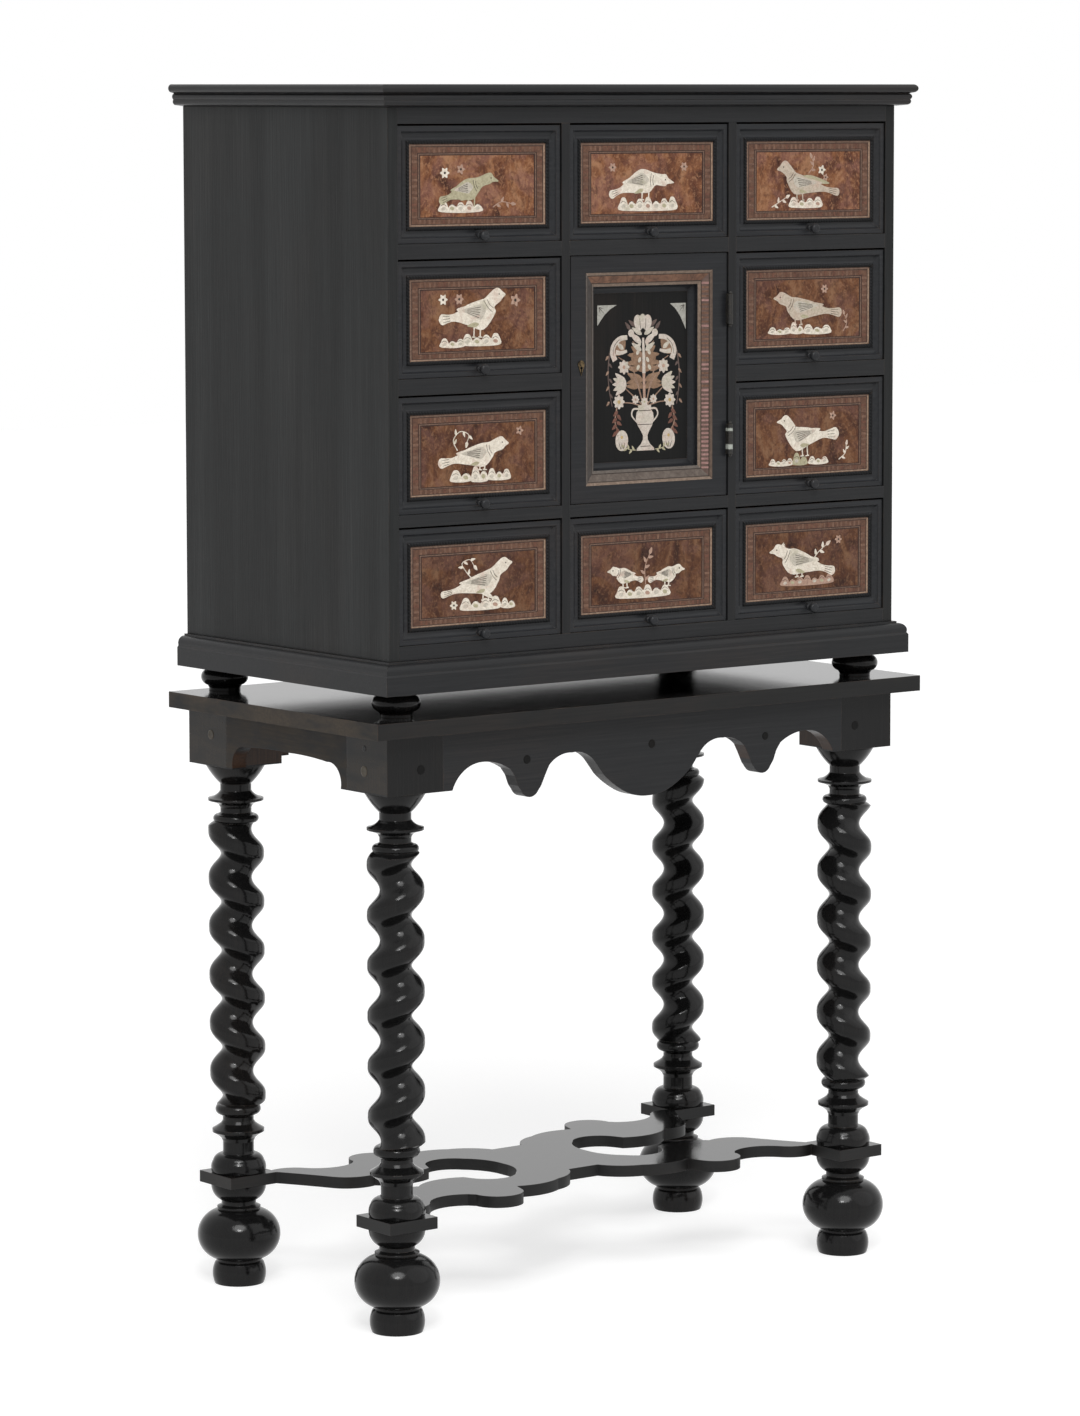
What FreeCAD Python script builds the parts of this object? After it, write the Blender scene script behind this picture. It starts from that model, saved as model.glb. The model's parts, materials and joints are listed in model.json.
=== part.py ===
import FreeCAD, Part
import math
import os

V = FreeCAD.Vector

# Every length is in millimetres. The origin is at the centre of the bounding box's bottom face,
# X runs across the front, Y runs from the front to the back and Z runs up.

# Stand: top board and aprons
stand_top_board = 19.0
stand_top_side_overhang = 29.0
stand_top_front_overhang = 22.0
apron_width = 768.0
apron_depth = 408.0
apron_height = 69.0
apron_board = 20.0
back_apron_height = 48.0
back_apron_foot = 52.0

# Stand: legs
leg_block = 80.0
leg_turned_length = 501.0
leg_cap_length = 72.0
leg_base_length = 84.0
leg_bell_radius = 35.5
leg_cushion_radius = 33.5
leg_cushion_height = 23.0
leg_neck_radius = 18.8
leg_cap_disc_radius = 33.5
leg_base_disc_radius = 31.5
leg_bead_radius = 27.5
leg_tenon_radius = 13.0
leg_tenon_depth = 30.0
leg_tenon_gap = 0.02
twist_radius = 26.2
twist_offset = 7.5
twist_pitch = 59.3
twist_end_taper = 16.0

# Stand: ball feet and stretcher
ball_foot_height = 123.0
ball_radius = 50.4
ball_pad_radius = 32.0
ball_neck_radius = 21.0
ball_cushion_radius = 33.5
ball_cushion_height = 21.0
stretcher_board = 14.0
stretcher_pad = 68.0

# Cabinet: feet and base moulding
cabinet_foot_height = 30.0
cabinet_foot_radius = 28.5
cabinet_foot_base_radius = 19.0
cabinet_foot_inset = 32.0
base_moulding_height = 38.0
base_moulding_overhang = 15.0
base_moulding_bed = 58.0

# Cabinet: carcase boards and openings
carcase_depth = 416.0
carcase_back_overhang = 5.0
side_board = 14.0
divider_board = 12.0
shelf_board = 14.5
middle_shelf_board = 19.0
top_shelf_board = 17.5
bottom_board = 17.0
subtop_board = 19.0
back_board = 10.0
side_column_width = 236.0
centre_column_width = 240.0
row_height = 136.5
row_count = 4

# Cabinet: cornice and top panel
cornice_height = 26.0
cornice_overhang = 21.0
cornice_bed = 42.0
cornice_ledge = 12.0
top_panel_board = 12.0
top_panel_gap = 0.3

# Drawers
drawer_side_gap = 0.8
drawer_top_gap = 2.2
drawer_seat_gap = 0.3
drawer_back_gap = 1.0
front_recess = 2.0
drawer_front_board = 12.0
drawer_side_board = 8.0
drawer_bottom_board = 6.0
drawer_side_height = 117.0
drawer_frame_side = 19.0
drawer_frame_top = 21.0
drawer_frame_bottom = 19.0
frame_rise = 7.0
inlay_panel = 3.0

# Drawer knobs
knob_radius = 6.2
knob_length = 13.0
knob_neck_radius = 3.2
knob_spigot_radius = 4.0
knob_spigot_depth = 6.0
knob_spigot_gap = 0.02

# Door
door_hinge_gap = 0.8
door_closing_gap = 2.8
door_top_gap = 0.8
door_sill_gap = 0.5
door_board = 27.0
door_face_stile = 22.0
door_face_rail = 20.0
door_border = 17.5
door_border_fall = 8.0
door_hollow = 8.0
door_panel_board = 10.0

# Door hinges
hinge_length = 36.0
hinge_knuckle_radius = 3.5
hinge_pin_radius = 1.5
hinge_pin_running_gap = 0.05
hinge_pin_fixed_gap = 0.02
hinge_pin_head = 2.4
hinge_leaf = 1.4
hinge_leaf_depth = 16.0
hinge_leaf_half_gap = 0.2
hinge_knuckle_gap = 0.15
hinge_face_gap = 0.2
hinge_housing_gap = 0.1
hinge_tab_lap = 0.5
hinge_place_share = 0.232

# Door lock
lock_width = 44.0
lock_height = 38.0
lock_case = 10.0
lock_edge_inset = 3.0
bolt_length = 30.0
bolt_height = 11.0
bolt_board = 5.0
bolt_gap = 0.3
bolt_raise = 8.0
bolt_throw = 10.0
escutcheon_width = 9.0
escutcheon_height = 18.0
escutcheon_board = 1.0
keyhole_radius = 1.8
keyhole_slot = 1.6
keyhole_length = 6.0
keyhole_raise = 14.0

# One overrun serves all cuts
overrun = 5.0

# Shares of the outlines, chosen by eye from the object
frame_lip_share = 0.30
knob_rail_share = 0.42
keyhole_stile_share = 0.68
twist_notch_power = 1.5
twist_start_shares = {"front_left": 0.75, "front_right": 0.15, "back_left": 0.85, "back_right": 0.03}

# Heights of the levels, from the floor up
stretcher_z = ball_foot_height
leg_z = stretcher_z + stretcher_board
block_z = leg_z + leg_turned_length
stand_top_z = block_z + apron_height
cabinet_foot_z = stand_top_z + stand_top_board
base_moulding_z = cabinet_foot_z + cabinet_foot_height
carcase_z = base_moulding_z + base_moulding_height
rows_z = carcase_z + bottom_board
middle_row = row_count // 2
shelves_height = (row_count - 3) * shelf_board + middle_shelf_board + top_shelf_board
rows_height = row_count * row_height + shelves_height
rows_top_z = rows_z + rows_height
cornice_z = rows_top_z + subtop_board
top_z = cornice_z + cornice_height

# Places across and along the object
leg_x = (apron_width - leg_block) / 2
leg_inset = leg_block / 2
ball_reach = ball_radius - leg_inset
stand_top_depth = apron_depth + stand_top_front_overhang
carcase_reach = carcase_depth - carcase_back_overhang
front_reach = max(stand_top_depth, carcase_reach + cornice_overhang)
back_y = (front_reach + ball_reach) / 2 - ball_reach
stand_front_y = back_y - stand_top_depth
apron_front_y = back_y - apron_depth
leg_front_y = apron_front_y + leg_inset
leg_back_y = back_y - leg_inset
leg_mid_y = (leg_front_y + leg_back_y) / 2
leg_y = (leg_back_y - leg_front_y) / 2
carcase_half = centre_column_width / 2 + divider_board + side_column_width + side_board
carcase_back_y = back_y + carcase_back_overhang
front_y = carcase_back_y - carcase_depth
inner_back_y = carcase_back_y - back_board
centre_half = centre_column_width / 2
column_x = centre_half + divider_board + side_column_width / 2
frame_face_y = front_y + front_recess
drawer_board_y = frame_face_y + frame_rise
drawer_inside_y = drawer_board_y + drawer_front_board

# Door places
door_z = rows_z + row_height + shelf_board + door_sill_gap
door_opening_top_z = rows_top_z - row_height - top_shelf_board
door_top_z = door_opening_top_z - door_top_gap
door_left_x = -centre_half + door_closing_gap
door_right_x = centre_half - door_hinge_gap
door_back_y = frame_face_y + door_board
door_stile = door_face_stile + door_border + door_hollow
door_rail = door_face_rail + door_border + door_hollow
door_mid_z = (door_z + door_top_z) / 2
pivot_x = centre_half - door_hinge_gap / 2
pivot_y = front_y - hinge_knuckle_radius - hinge_face_gap


def block(x0, x1, y0, y1, z0, z1):
    """A plain board between two corners."""
    return Part.makeBox(x1 - x0, y1 - y0, z1 - z0, V(x0, y0, z0))


def outline(steps, place):
    """A face from steps of (s, t) for a line and (via s, via t, s, t) for an arc."""
    edges = []
    here = steps[0]
    for step in steps[1:] + [steps[0]]:
        end = step[-2:]
        if len(step) == 4:
            edges.append(Part.Arc(place(*here), place(*step[:2]), place(*end)).toShape())
        else:
            edges.append(Part.makeLine(place(*here), place(*end)))
        here = end
    return Part.Face(Part.Wire(edges))


def turned(steps, x, y, z):
    """A solid turned about the vertical line through x, y from steps of (radius, height)."""
    face = outline(steps, lambda r, h: V(x + r, y, z + h))
    return face.revolve(V(x, y, z), V(0, 0, 1), 360)


def mirrored_x(shape):
    """The same shape on the other side of the middle."""
    return shape.mirror(V(0, 0, 0), V(1, 0, 0))


def save(name, *solids):
    """Write one node from its solids."""
    shape = solids[0] if len(solids) == 1 else Part.makeCompound(list(solids))
    shape.exportStep("parts/" + name + ".step")


def corners():
    """The leg places with their names and the hand of their twist."""
    yield "front_left", -leg_x, leg_front_y, 1
    yield "front_right", leg_x, leg_front_y, -1
    yield "back_left", -leg_x, leg_back_y, -1
    yield "back_right", leg_x, leg_back_y, 1


# Ball feet

def ball_foot(x, y):
    """Turned foot: rounded pad, squashed ball, neck and a cushion that carries the stretcher."""
    h = ball_foot_height
    cushion_z = h - ball_cushion_height
    steps = [
        (0, 0),
        (0.94 * ball_pad_radius, 0),
        (1.02 * ball_pad_radius, 0.10 * h, 0.93 * ball_pad_radius, 0.205 * h),
        (0.86 * ball_pad_radius, 0.225 * h),
        (0.86 * ball_pad_radius, 0.245 * h),
        (ball_radius, 0.49 * h, 1.16 * ball_neck_radius, 0.74 * h),
        (1.26 * ball_neck_radius, 0.75 * h),
        (1.26 * ball_neck_radius, 0.77 * h),
        (ball_neck_radius, 0.79 * h),
        (ball_neck_radius, cushion_z),
        (0.90 * ball_cushion_radius, h - 0.62 * ball_cushion_height,
         ball_cushion_radius, h - 0.08 * ball_cushion_height),
        (ball_cushion_radius, h),
        (0, h),
    ]
    socket_radius = leg_tenon_radius + leg_tenon_gap
    socket = Part.makeCylinder(socket_radius, leg_tenon_depth + overrun, V(x, y, h - leg_tenon_depth))
    return turned(steps, x, y, 0).cut(socket)


# Stretcher

# One quarter of the flat shaped cross, as shares of the distance from the middle to the pad's
# inner faces in X and Y: where both pass 1 the outline is inside the pad
stretcher_quarter_shares = [
    (0.000, 0.593),
    (0.072, 0.593),
    (0.122, 0.757, 0.211, 0.864),
    (0.311, 0.946, 0.427, 0.902),
    (0.449, 1.060),
    (0.544, 1.211, 0.644, 0.971),
    (0.666, 0.908),
    (0.766, 0.845, 0.877, 1.009),
    (0.945, 1.110, 1.030, 1.060),
    (1.004, 0.997),
    (0.921, 0.656, 0.888, 0.505),
    (0.821, 0.353, 0.727, 0.347),
    (0.710, 0.309),
    (0.599, 0.214, 0.488, 0.271),
    (0.472, 0.366),
    (0.388, 0.530, 0.277, 0.416),
    (0.227, 0.252, 0.209, 0.076),
    (0.209, 0.000),
    (0.000, 0.000),
]


def stretcher():
    """Flat scrolled cross with a square pad under each leg and a hole for each tenon."""
    top = V(0, 0, stretcher_board)
    half = stretcher_pad / 2
    inner_x, inner_y = leg_x - half, leg_y - half
    quarters = []
    for side in (-1, 1):
        for end in (-1, 1):
            def place(s, t):
                return V(side * s * inner_x, leg_mid_y + end * t * inner_y, stretcher_z)
            quarters.append(outline(stretcher_quarter_shares, place).extrude(top))
    body = quarters[0].multiFuse(quarters[1:])
    for name, x, y, hand in corners():
        body = body.fuse(block(x - half, x + half, y - half, y + half, stretcher_z, leg_z))
    hole_radius = leg_tenon_radius + leg_tenon_gap
    for name, x, y, hand in corners():
        body = body.cut(Part.makeCylinder(hole_radius, stretcher_board, V(x, y, stretcher_z)))
    return body.removeSplitter()


# Legs

def leg_base_steps():
    """Turning above the stretcher: cushion, neck, disc, neck and bead."""
    c = leg_cushion_height
    h = leg_base_length - c
    return [
        (0, 0),
        (0.97 * leg_cushion_radius, 0),
        (leg_cushion_radius, 0.30 * c, 0.93 * leg_cushion_radius, 0.62 * c),
        (0.80 * leg_cushion_radius, 0.90 * c, 1.04 * leg_neck_radius, c),
        (leg_neck_radius, c + 0.05 * h),
        (leg_neck_radius, c + 0.24 * h),
        (1.12 * leg_neck_radius, c + 0.32 * h),
        (1.45 * leg_neck_radius, c + 0.40 * h, leg_base_disc_radius, c + 0.44 * h),
        (leg_base_disc_radius, c + 0.50 * h),
        (1.45 * leg_neck_radius, c + 0.54 * h, 1.12 * leg_neck_radius, c + 0.61 * h),
        (leg_neck_radius, c + 0.67 * h),
        (leg_neck_radius, c + 0.75 * h),
        (1.16 * leg_neck_radius, c + 0.79 * h),
        (leg_bead_radius, c + 0.89 * h, 1.16 * leg_neck_radius, c + h),
        (0, c + h),
    ]


def leg_cap_steps():
    """Turning under the square block: bead, neck, disc, neck and bell, from the bottom up."""
    h = leg_cap_length
    return [
        (0, 0),
        (1.16 * leg_neck_radius, 0),
        (leg_bead_radius, 0.07 * h, 1.16 * leg_neck_radius, 0.14 * h),
        (leg_neck_radius, 0.17 * h),
        (leg_neck_radius, 0.25 * h),
        (1.12 * leg_neck_radius, 0.31 * h),
        (1.45 * leg_neck_radius, 0.35 * h, leg_cap_disc_radius, 0.375 * h),
        (leg_cap_disc_radius, 0.415 * h),
        (1.45 * leg_neck_radius, 0.44 * h, 1.12 * leg_neck_radius, 0.50 * h),
        (leg_neck_radius, 0.54 * h),
        (leg_neck_radius, 0.66 * h),
        (1.12 * leg_neck_radius, 0.69 * h),
        (0.80 * leg_bell_radius, 0.81 * h, leg_bell_radius, 0.965 * h),
        (leg_bell_radius, h),
        (0, h),
    ]


def twist_section(z):
    """Closed curve round the axis: full on one side, drawn in to a narrower notch on the other."""
    def reach(turn):
        fall = ((1 - math.cos(turn)) / 2) ** twist_notch_power
        return twist_radius + twist_offset * (1 - 2 * fall)

    def slope(turn):
        fall = twist_notch_power * ((1 - math.cos(turn)) / 2) ** (twist_notch_power - 1)
        return -twist_offset * fall * math.sin(turn)

    count = 16
    points = []
    for k in range(count):
        turn = 2 * math.pi * k / count
        c, s = math.cos(turn), math.sin(turn)
        points.append(V(reach(turn) * c - slope(turn) * s, reach(turn) * s + slope(turn) * c, z))
    curve = Part.BSplineCurve()
    curve.interpolate(points, PeriodicFlag=True)
    return Part.Wire([curve.toShape()])


def twist(low, high, hand):
    """Single barley twist about the Z axis, rounded off at both ends."""
    length = high - low
    path = Part.Wire([Part.makeLine(V(0, 0, low), V(0, 0, high))])
    guide = Part.makeHelix(twist_pitch, length, twist_radius + twist_offset, 0, hand < 0)
    guide.translate(V(0, 0, low))
    shell = Part.BRepOffsetAPI.MakePipeShell(path)
    shell.setAuxiliarySpine(Part.Wire(guide.Edges), False, 0)
    shell.add(twist_section(low), False, False)
    shell.build()
    shell.makeSolid()
    reach = twist_radius + twist_offset + overrun
    ends = leg_neck_radius
    envelope = turned([
        (0, 0),
        (ends, 0),
        (0.80 * reach, 0.35 * twist_end_taper, reach, twist_end_taper),
        (reach, length - twist_end_taper),
        (0.80 * reach, length - 0.35 * twist_end_taper, ends, length),
        (0, length),
    ], 0, 0, low)
    return shell.shape().common(envelope)


def leg(x, y, hand, start):
    """Square block, turned cap, barley twist, turned base and tenon in one length of wood."""
    cap_z = block_z - leg_cap_length
    base_top_z = leg_z + leg_base_length
    sink = 0.05 * leg_base_length
    half = leg_block / 2
    post = block(x - half, x + half, y - half, y + half, block_z, stand_top_z)
    cap = turned(leg_cap_steps(), x, y, cap_z)
    base = turned(leg_base_steps(), x, y, leg_z)
    middle = twist(base_top_z - sink, cap_z + sink, hand)
    middle.rotate(V(0, 0, 0), V(0, 0, 1), 360 * hand * start)
    middle.translate(V(x, y, 0))
    tenon_length = stretcher_board + leg_tenon_depth
    tenon = Part.makeCylinder(leg_tenon_radius, tenon_length, V(x, y, leg_z - tenon_length))
    return post.multiFuse([cap, middle, base, tenon])


# Aprons

# Half of the front apron's lower edge, from the leg to the middle, as shares of its half length
# and of the apron height measured down from the top
front_apron_shares = [
    (0.957, 1.000),
    (0.916, 0.735, 0.830, 0.566),
    (0.732, 0.620, 0.678, 0.735),
    (0.657, 0.860),
    (0.641, 1.035),
    (0.625, 1.130),
    (0.583, 1.245, 0.549, 1.170),
    (0.530, 1.065),
    (0.508, 0.870),
    (0.490, 0.725),
    (0.460, 0.625, 0.378, 0.552),
    (0.303, 0.612, 0.263, 0.760),
    (0.222, 0.990),
    (0.188, 1.120, 0.138, 1.267),
    (0.076, 1.388, 0.000, 1.430),
]

# Half of the side apron's lower edge in the same way
side_apron_shares = [
    (0.900, 1.000),
    (0.850, 0.680, 0.680, 0.580),
    (0.350, 0.540, 0.000, 0.540),
]


def shaped_apron(half_length, shares, place, thickness):
    """Board with a shaped lower edge that is the same on both sides of its middle."""
    steps = [(-half_length, 0), (-half_length, apron_height)]
    for step in shares:
        steps.append(tuple(v * (apron_height if k % 2 else -half_length) for k, v in enumerate(step)))
    back = []
    for near, far in zip(shares[-2::-1], shares[:0:-1]):
        via = far[:2] if len(far) == 4 else ()
        step = via + near[-2:]
        back.append(tuple(v * (apron_height if k % 2 else half_length) for k, v in enumerate(step)))
    steps += back + [(half_length, apron_height), (half_length, 0)]
    return outline(steps, place).extrude(thickness)


def aprons():
    """Front, back and side boards between the leg blocks."""
    across = apron_width / 2 - leg_block
    along = apron_depth / 2 - leg_block
    mid_y = back_y - apron_depth / 2
    outer_x = apron_width / 2
    front = shaped_apron(across, front_apron_shares,
                         lambda s, t: V(s, apron_front_y, stand_top_z - t), V(0, apron_board, 0))
    side = shaped_apron(along, side_apron_shares,
                        lambda s, t: V(-outer_x, mid_y + s, stand_top_z - t), V(apron_board, 0, 0))
    inner = across - back_apron_foot
    back = outline([(-across, 0), (-across, apron_height), (-inner, apron_height),
                    (-inner, back_apron_height), (inner, back_apron_height), (inner, apron_height),
                    (across, apron_height), (across, 0)],
                   lambda s, t: V(s, back_y - apron_board, stand_top_z - t))
    save("apron_front", front)
    save("apron_left", side)
    save("apron_right", mirrored_x(side))
    save("apron_back", back.extrude(V(0, apron_board, 0)))


def stand():
    """Top board, aprons, legs, stretcher and ball feet."""
    top_half = apron_width / 2 + stand_top_side_overhang
    save("stand_top", block(-top_half, top_half, stand_front_y, back_y, stand_top_z, cabinet_foot_z))
    aprons()
    for name, x, y, hand in corners():
        save("leg_" + name, leg(x, y, hand, twist_start_shares[name]))
    save("stretcher", stretcher())
    save("ball_feet", *[ball_foot(x, y) for name, x, y, hand in corners()])


# Cabinet feet, base moulding and cornice

def cabinet_foot(x, y):
    """Squashed bun foot with a narrow base."""
    h = cabinet_foot_height
    steps = [
        (0, 0),
        (cabinet_foot_base_radius, 0),
        (cabinet_foot_base_radius, 0.12 * h),
        (1.10 * cabinet_foot_base_radius, 0.22 * h),
        (cabinet_foot_radius, 0.54 * h, 1.15 * cabinet_foot_base_radius, 0.86 * h),
        (1.15 * cabinet_foot_base_radius, h),
        (0, h),
    ]
    return turned(steps, x, y, cabinet_foot_z)


def three_sided(steps, z, bed, overhang):
    """Front and side lengths of a moulding, mitred at the front corners and square at the back."""
    tall = 2 * overrun + cornice_height + base_moulding_height
    out_x, out_y = carcase_half + overhang, front_y - overhang
    in_x, in_y = carcase_half - bed, front_y + bed

    def prism(points):
        wire = Part.makePolygon([V(px, py, z - overrun) for px, py in points + points[:1]])
        return Part.Face(wire).extrude(V(0, 0, tall))

    front = outline(steps, lambda s, t: V(-out_x, front_y - s, z + t)).extrude(V(2 * out_x, 0, 0))
    side = outline(steps, lambda s, t: V(-carcase_half - s, out_y, z + t))
    side = side.extrude(V(0, carcase_back_y - out_y, 0))
    front = front.common(prism([(-out_x, out_y), (out_x, out_y), (in_x, in_y), (-in_x, in_y)]))
    side = side.common(prism([(-out_x, out_y), (-in_x, in_y), (-in_x, carcase_back_y),
                              (-out_x, carcase_back_y)]))
    return [front, side, mirrored_x(side)]


def base_moulding():
    """Plinth lengths with an ovolo over an upright face, and a plain rail across the back."""
    h, o = base_moulding_height, base_moulding_overhang
    steps = [
        (-base_moulding_bed, 0),
        (o, 0),
        (o, 0.58 * h),
        (0.88 * o, 0.64 * h),
        (0.78 * o, 0.86 * h, 0.30 * o, 0.94 * h),
        (0.30 * o, h),
        (-base_moulding_bed, h),
    ]
    lengths = three_sided(steps, base_moulding_z, base_moulding_bed, o)
    inner = carcase_half - base_moulding_bed
    rail = block(-inner, inner, carcase_back_y - base_moulding_bed, carcase_back_y,
                 base_moulding_z, carcase_z)
    return lengths + [rail]


def cornice():
    """Cornice lengths: undercut bed, hollow and bold nosing, rebated for the top panel."""
    h, o = cornice_height, cornice_overhang
    ledge = cornice_bed - cornice_ledge
    steps = [
        (-cornice_bed, 0),
        (0.10 * o, 0),
        (0.55 * o, 0.05 * h),
        (0.68 * o, 0.14 * h, 0.66 * o, 0.30 * h),
        (0.72 * o, 0.50 * h, 0.62 * o, 0.58 * h),
        (0.80 * o, 0.62 * h),
        (o, 0.82 * h, 0.80 * o, h),
        (-cornice_bed, h),
    ]
    lengths = three_sided(steps, cornice_z, cornice_bed, o)
    inner = carcase_half - cornice_bed
    rail = block(-inner, inner, carcase_back_y - cornice_bed, carcase_back_y, cornice_z, top_z)
    notch = carcase_half - ledge
    edge_y = front_y + ledge
    back_edge_y = carcase_back_y - ledge
    panel_z = top_z - top_panel_board
    panel = block(-notch + top_panel_gap, notch - top_panel_gap, edge_y + top_panel_gap,
                  back_edge_y - top_panel_gap, panel_z, top_z)
    rebate = block(-notch, notch, edge_y, back_edge_y, panel_z, top_z + overrun)
    return [length.cut(rebate) for length in lengths + [rail]], panel


# Carcase

def shelf_thickness(k):
    """Board between two rows: the middle one, beside the door, is the thickest."""
    if k == middle_row:
        return middle_shelf_board
    return top_shelf_board if k == row_count - 1 else shelf_board


def shelf_top_z(k):
    """Upper face of the k-th shelf, counted from the bottom."""
    return rows_z + k * row_height + sum(shelf_thickness(j) for j in range(1, k + 1))


def carcase():
    """Side, bottom, back and upper boards with the dividers and shelves between the openings."""
    inner = carcase_half - side_board
    left = block(-carcase_half, -inner, front_y, carcase_back_y, carcase_z, cornice_z)
    save("carcase_side_left", left)
    save("carcase_side_right", mirrored_x(left))
    save("carcase_bottom", block(-inner, inner, front_y, inner_back_y, carcase_z, rows_z))
    save("carcase_subtop", block(-inner, inner, front_y, inner_back_y, rows_top_z, cornice_z))
    save("carcase_back", block(-inner, inner, inner_back_y, carcase_back_y, carcase_z, cornice_z))
    outer = centre_half + divider_board
    right = block(centre_half, outer, front_y, inner_back_y, rows_z, rows_top_z)
    save("dividers", mirrored_x(right).cut(bolt_mortise()), right.cut(hinge_housings(1)))
    side_shelves = []
    centre_shelves = []
    for k in range(1, row_count):
        high = shelf_top_z(k)
        low = high - shelf_thickness(k)
        shelf = block(outer, inner, front_y, inner_back_y, low, high)
        side_shelves += [mirrored_x(shelf), shelf]
        if k != middle_row:
            centre_shelves.append(block(-centre_half, centre_half, front_y, inner_back_y, low, high))
    save("side_shelves", *side_shelves)
    save("centre_shelves", *centre_shelves)
    feet_x = carcase_half - cabinet_foot_inset
    feet_y = (front_y + cabinet_foot_inset, carcase_back_y - cabinet_foot_inset)
    save("cabinet_feet", *[cabinet_foot(x, y) for x in (-feet_x, feet_x) for y in feet_y])
    save("base_moulding", *base_moulding())
    lengths, panel = cornice()
    save("cornice", *lengths)
    save("cabinet_top", panel)


# Mitred frames of the drawers and the door

def drawer_frame_steps(width):
    """Section of a drawer's moulding: flat lip, hollow and a small bead at the inner edge."""
    lip = frame_lip_share * width
    foot = 0.76 * width
    return [
        (0, 0),
        (0, frame_rise),
        (lip, frame_rise),
        (lip + 0.20 * (foot - lip), 0.62 * frame_rise, foot, 0.50 * frame_rise),
        (0.88 * width, 0.82 * frame_rise, width, 0.50 * frame_rise),
        (width, 0),
    ]


def door_frame_steps(width):
    """Section of the door's frame: flat face, border sloping inwards, and a hollow down to the panel."""
    start = width - door_border - door_hollow
    edge = width - door_hollow
    edge_rise = door_board - door_border_fall
    drop = edge_rise - door_panel_board
    return [
        (0, 0),
        (0, door_board),
        (start, door_board),
        (edge, edge_rise),
        (edge + 0.15 * door_hollow, edge_rise - 0.70 * drop, width, door_panel_board),
        (width, 0),
    ]


def mitred_frame(x0, x1, z0, z1, stile, low_rail, top_rail, seat_y, section):
    """Bottom, top, left and right lengths round a panel, in front of the plane y = seat_y."""
    deep = door_board + 2 * overrun

    def prism(points):
        wire = Part.makePolygon([V(px, seat_y + overrun, pz) for px, pz in points + points[:1]])
        return Part.Face(wire).extrude(V(0, -deep, 0))

    stile_steps = section(stile)
    along, up = V(x1 - x0, 0, 0), V(0, 0, z1 - z0)
    bottom = outline(section(low_rail), lambda s, t: V(x0, seat_y - t, z0 + s)).extrude(along)
    top = outline(section(top_rail), lambda s, t: V(x0, seat_y - t, z1 - s)).extrude(along)
    left = outline(stile_steps, lambda s, t: V(x0 + s, seat_y - t, z0)).extrude(up)
    right = outline(stile_steps, lambda s, t: V(x1 - s, seat_y - t, z0)).extrude(up)
    a, b, c, d = x0 + stile, x1 - stile, z0 + low_rail, z1 - top_rail
    return [
        bottom.common(prism([(x0, z0), (x1, z0), (b, c), (a, c)])),
        top.common(prism([(x0, z1), (x1, z1), (b, d), (a, d)])),
        left.common(prism([(x0, z0), (a, c), (a, d), (x0, z1)])),
        right.common(prism([(x1, z0), (b, c), (b, d), (x1, z1)])),
    ]


# Drawers

def knob(x, z):
    """Small turned knob whose spigot goes through the bottom rail into the front board."""
    sunk = frame_rise + knob_spigot_depth
    n, r, h = knob_neck_radius, knob_radius, knob_length
    steps = [
        (0, -sunk),
        (knob_spigot_radius, -sunk),
        (knob_spigot_radius, 0.08 * h),
        (0.85 * n, 0.28 * h, n, 0.42 * h),
        (r, 0.72 * h, 0.40 * n, h),
        (0, h),
    ]
    face = outline(steps, lambda s, t: V(x + s, frame_face_y - t, z))
    return face.revolve(V(x, frame_face_y, z), V(0, 1, 0), 360)


def drawer(name, x, width, low):
    """One drawer: dovetailed box, framed front with its knob, and the inlaid panel."""
    x0 = x - width / 2 + drawer_side_gap
    x1 = x + width / 2 - drawer_side_gap
    z0 = low + drawer_seat_gap
    z1 = low + row_height - drawer_top_gap
    box_back_y = inner_back_y - drawer_back_gap
    side_z = z0 + drawer_side_height
    floor_z = z0 + drawer_bottom_board
    a, b = x0 + drawer_side_board, x1 - drawer_side_board
    box = [
        block(x0, a, drawer_inside_y, box_back_y, z0, side_z),
        block(b, x1, drawer_inside_y, box_back_y, z0, side_z),
        block(a, b, box_back_y - drawer_side_board, box_back_y, floor_z, side_z),
        block(a, b, drawer_inside_y, box_back_y, z0, floor_z),
    ]
    save(name + "_box", *box)
    knob_z = z0 + knob_rail_share * drawer_frame_bottom
    hole = Part.makeCylinder(knob_spigot_radius + knob_spigot_gap, frame_rise + knob_spigot_depth,
                             V(x, frame_face_y, knob_z), V(0, 1, 0))
    board = block(x0, x1, drawer_board_y, drawer_inside_y, z0, z1).cut(hole)
    frame = mitred_frame(x0, x1, z0, z1, drawer_frame_side, drawer_frame_bottom,
                         drawer_frame_top, drawer_board_y, drawer_frame_steps)
    frame[0] = frame[0].cut(hole)
    save(name + "_front", board, *frame, knob(x, knob_z))
    panel = block(x0 + drawer_frame_side, x1 - drawer_frame_side, drawer_board_y - inlay_panel,
                  drawer_board_y, z0 + drawer_frame_bottom, z1 - drawer_frame_top)
    save(name + "_panel", panel)


def drawers():
    """Four drawers in each side column and one above and one below the door."""
    for row in range(row_count):
        low = shelf_top_z(row_count - 1 - row)
        label = str(row + 1)
        drawer("drawer_left_" + label, -column_x, side_column_width, low)
        drawer("drawer_right_" + label, column_x, side_column_width, low)
        if row in (0, row_count - 1):
            drawer("drawer_centre_" + label, 0, centre_column_width, low)


# Door hinges

def hinge_middles():
    """Heights of the two hinges."""
    tall = door_top_z - door_z
    return [door_z + hinge_place_share * tall, door_top_z - hinge_place_share * tall]


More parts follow.
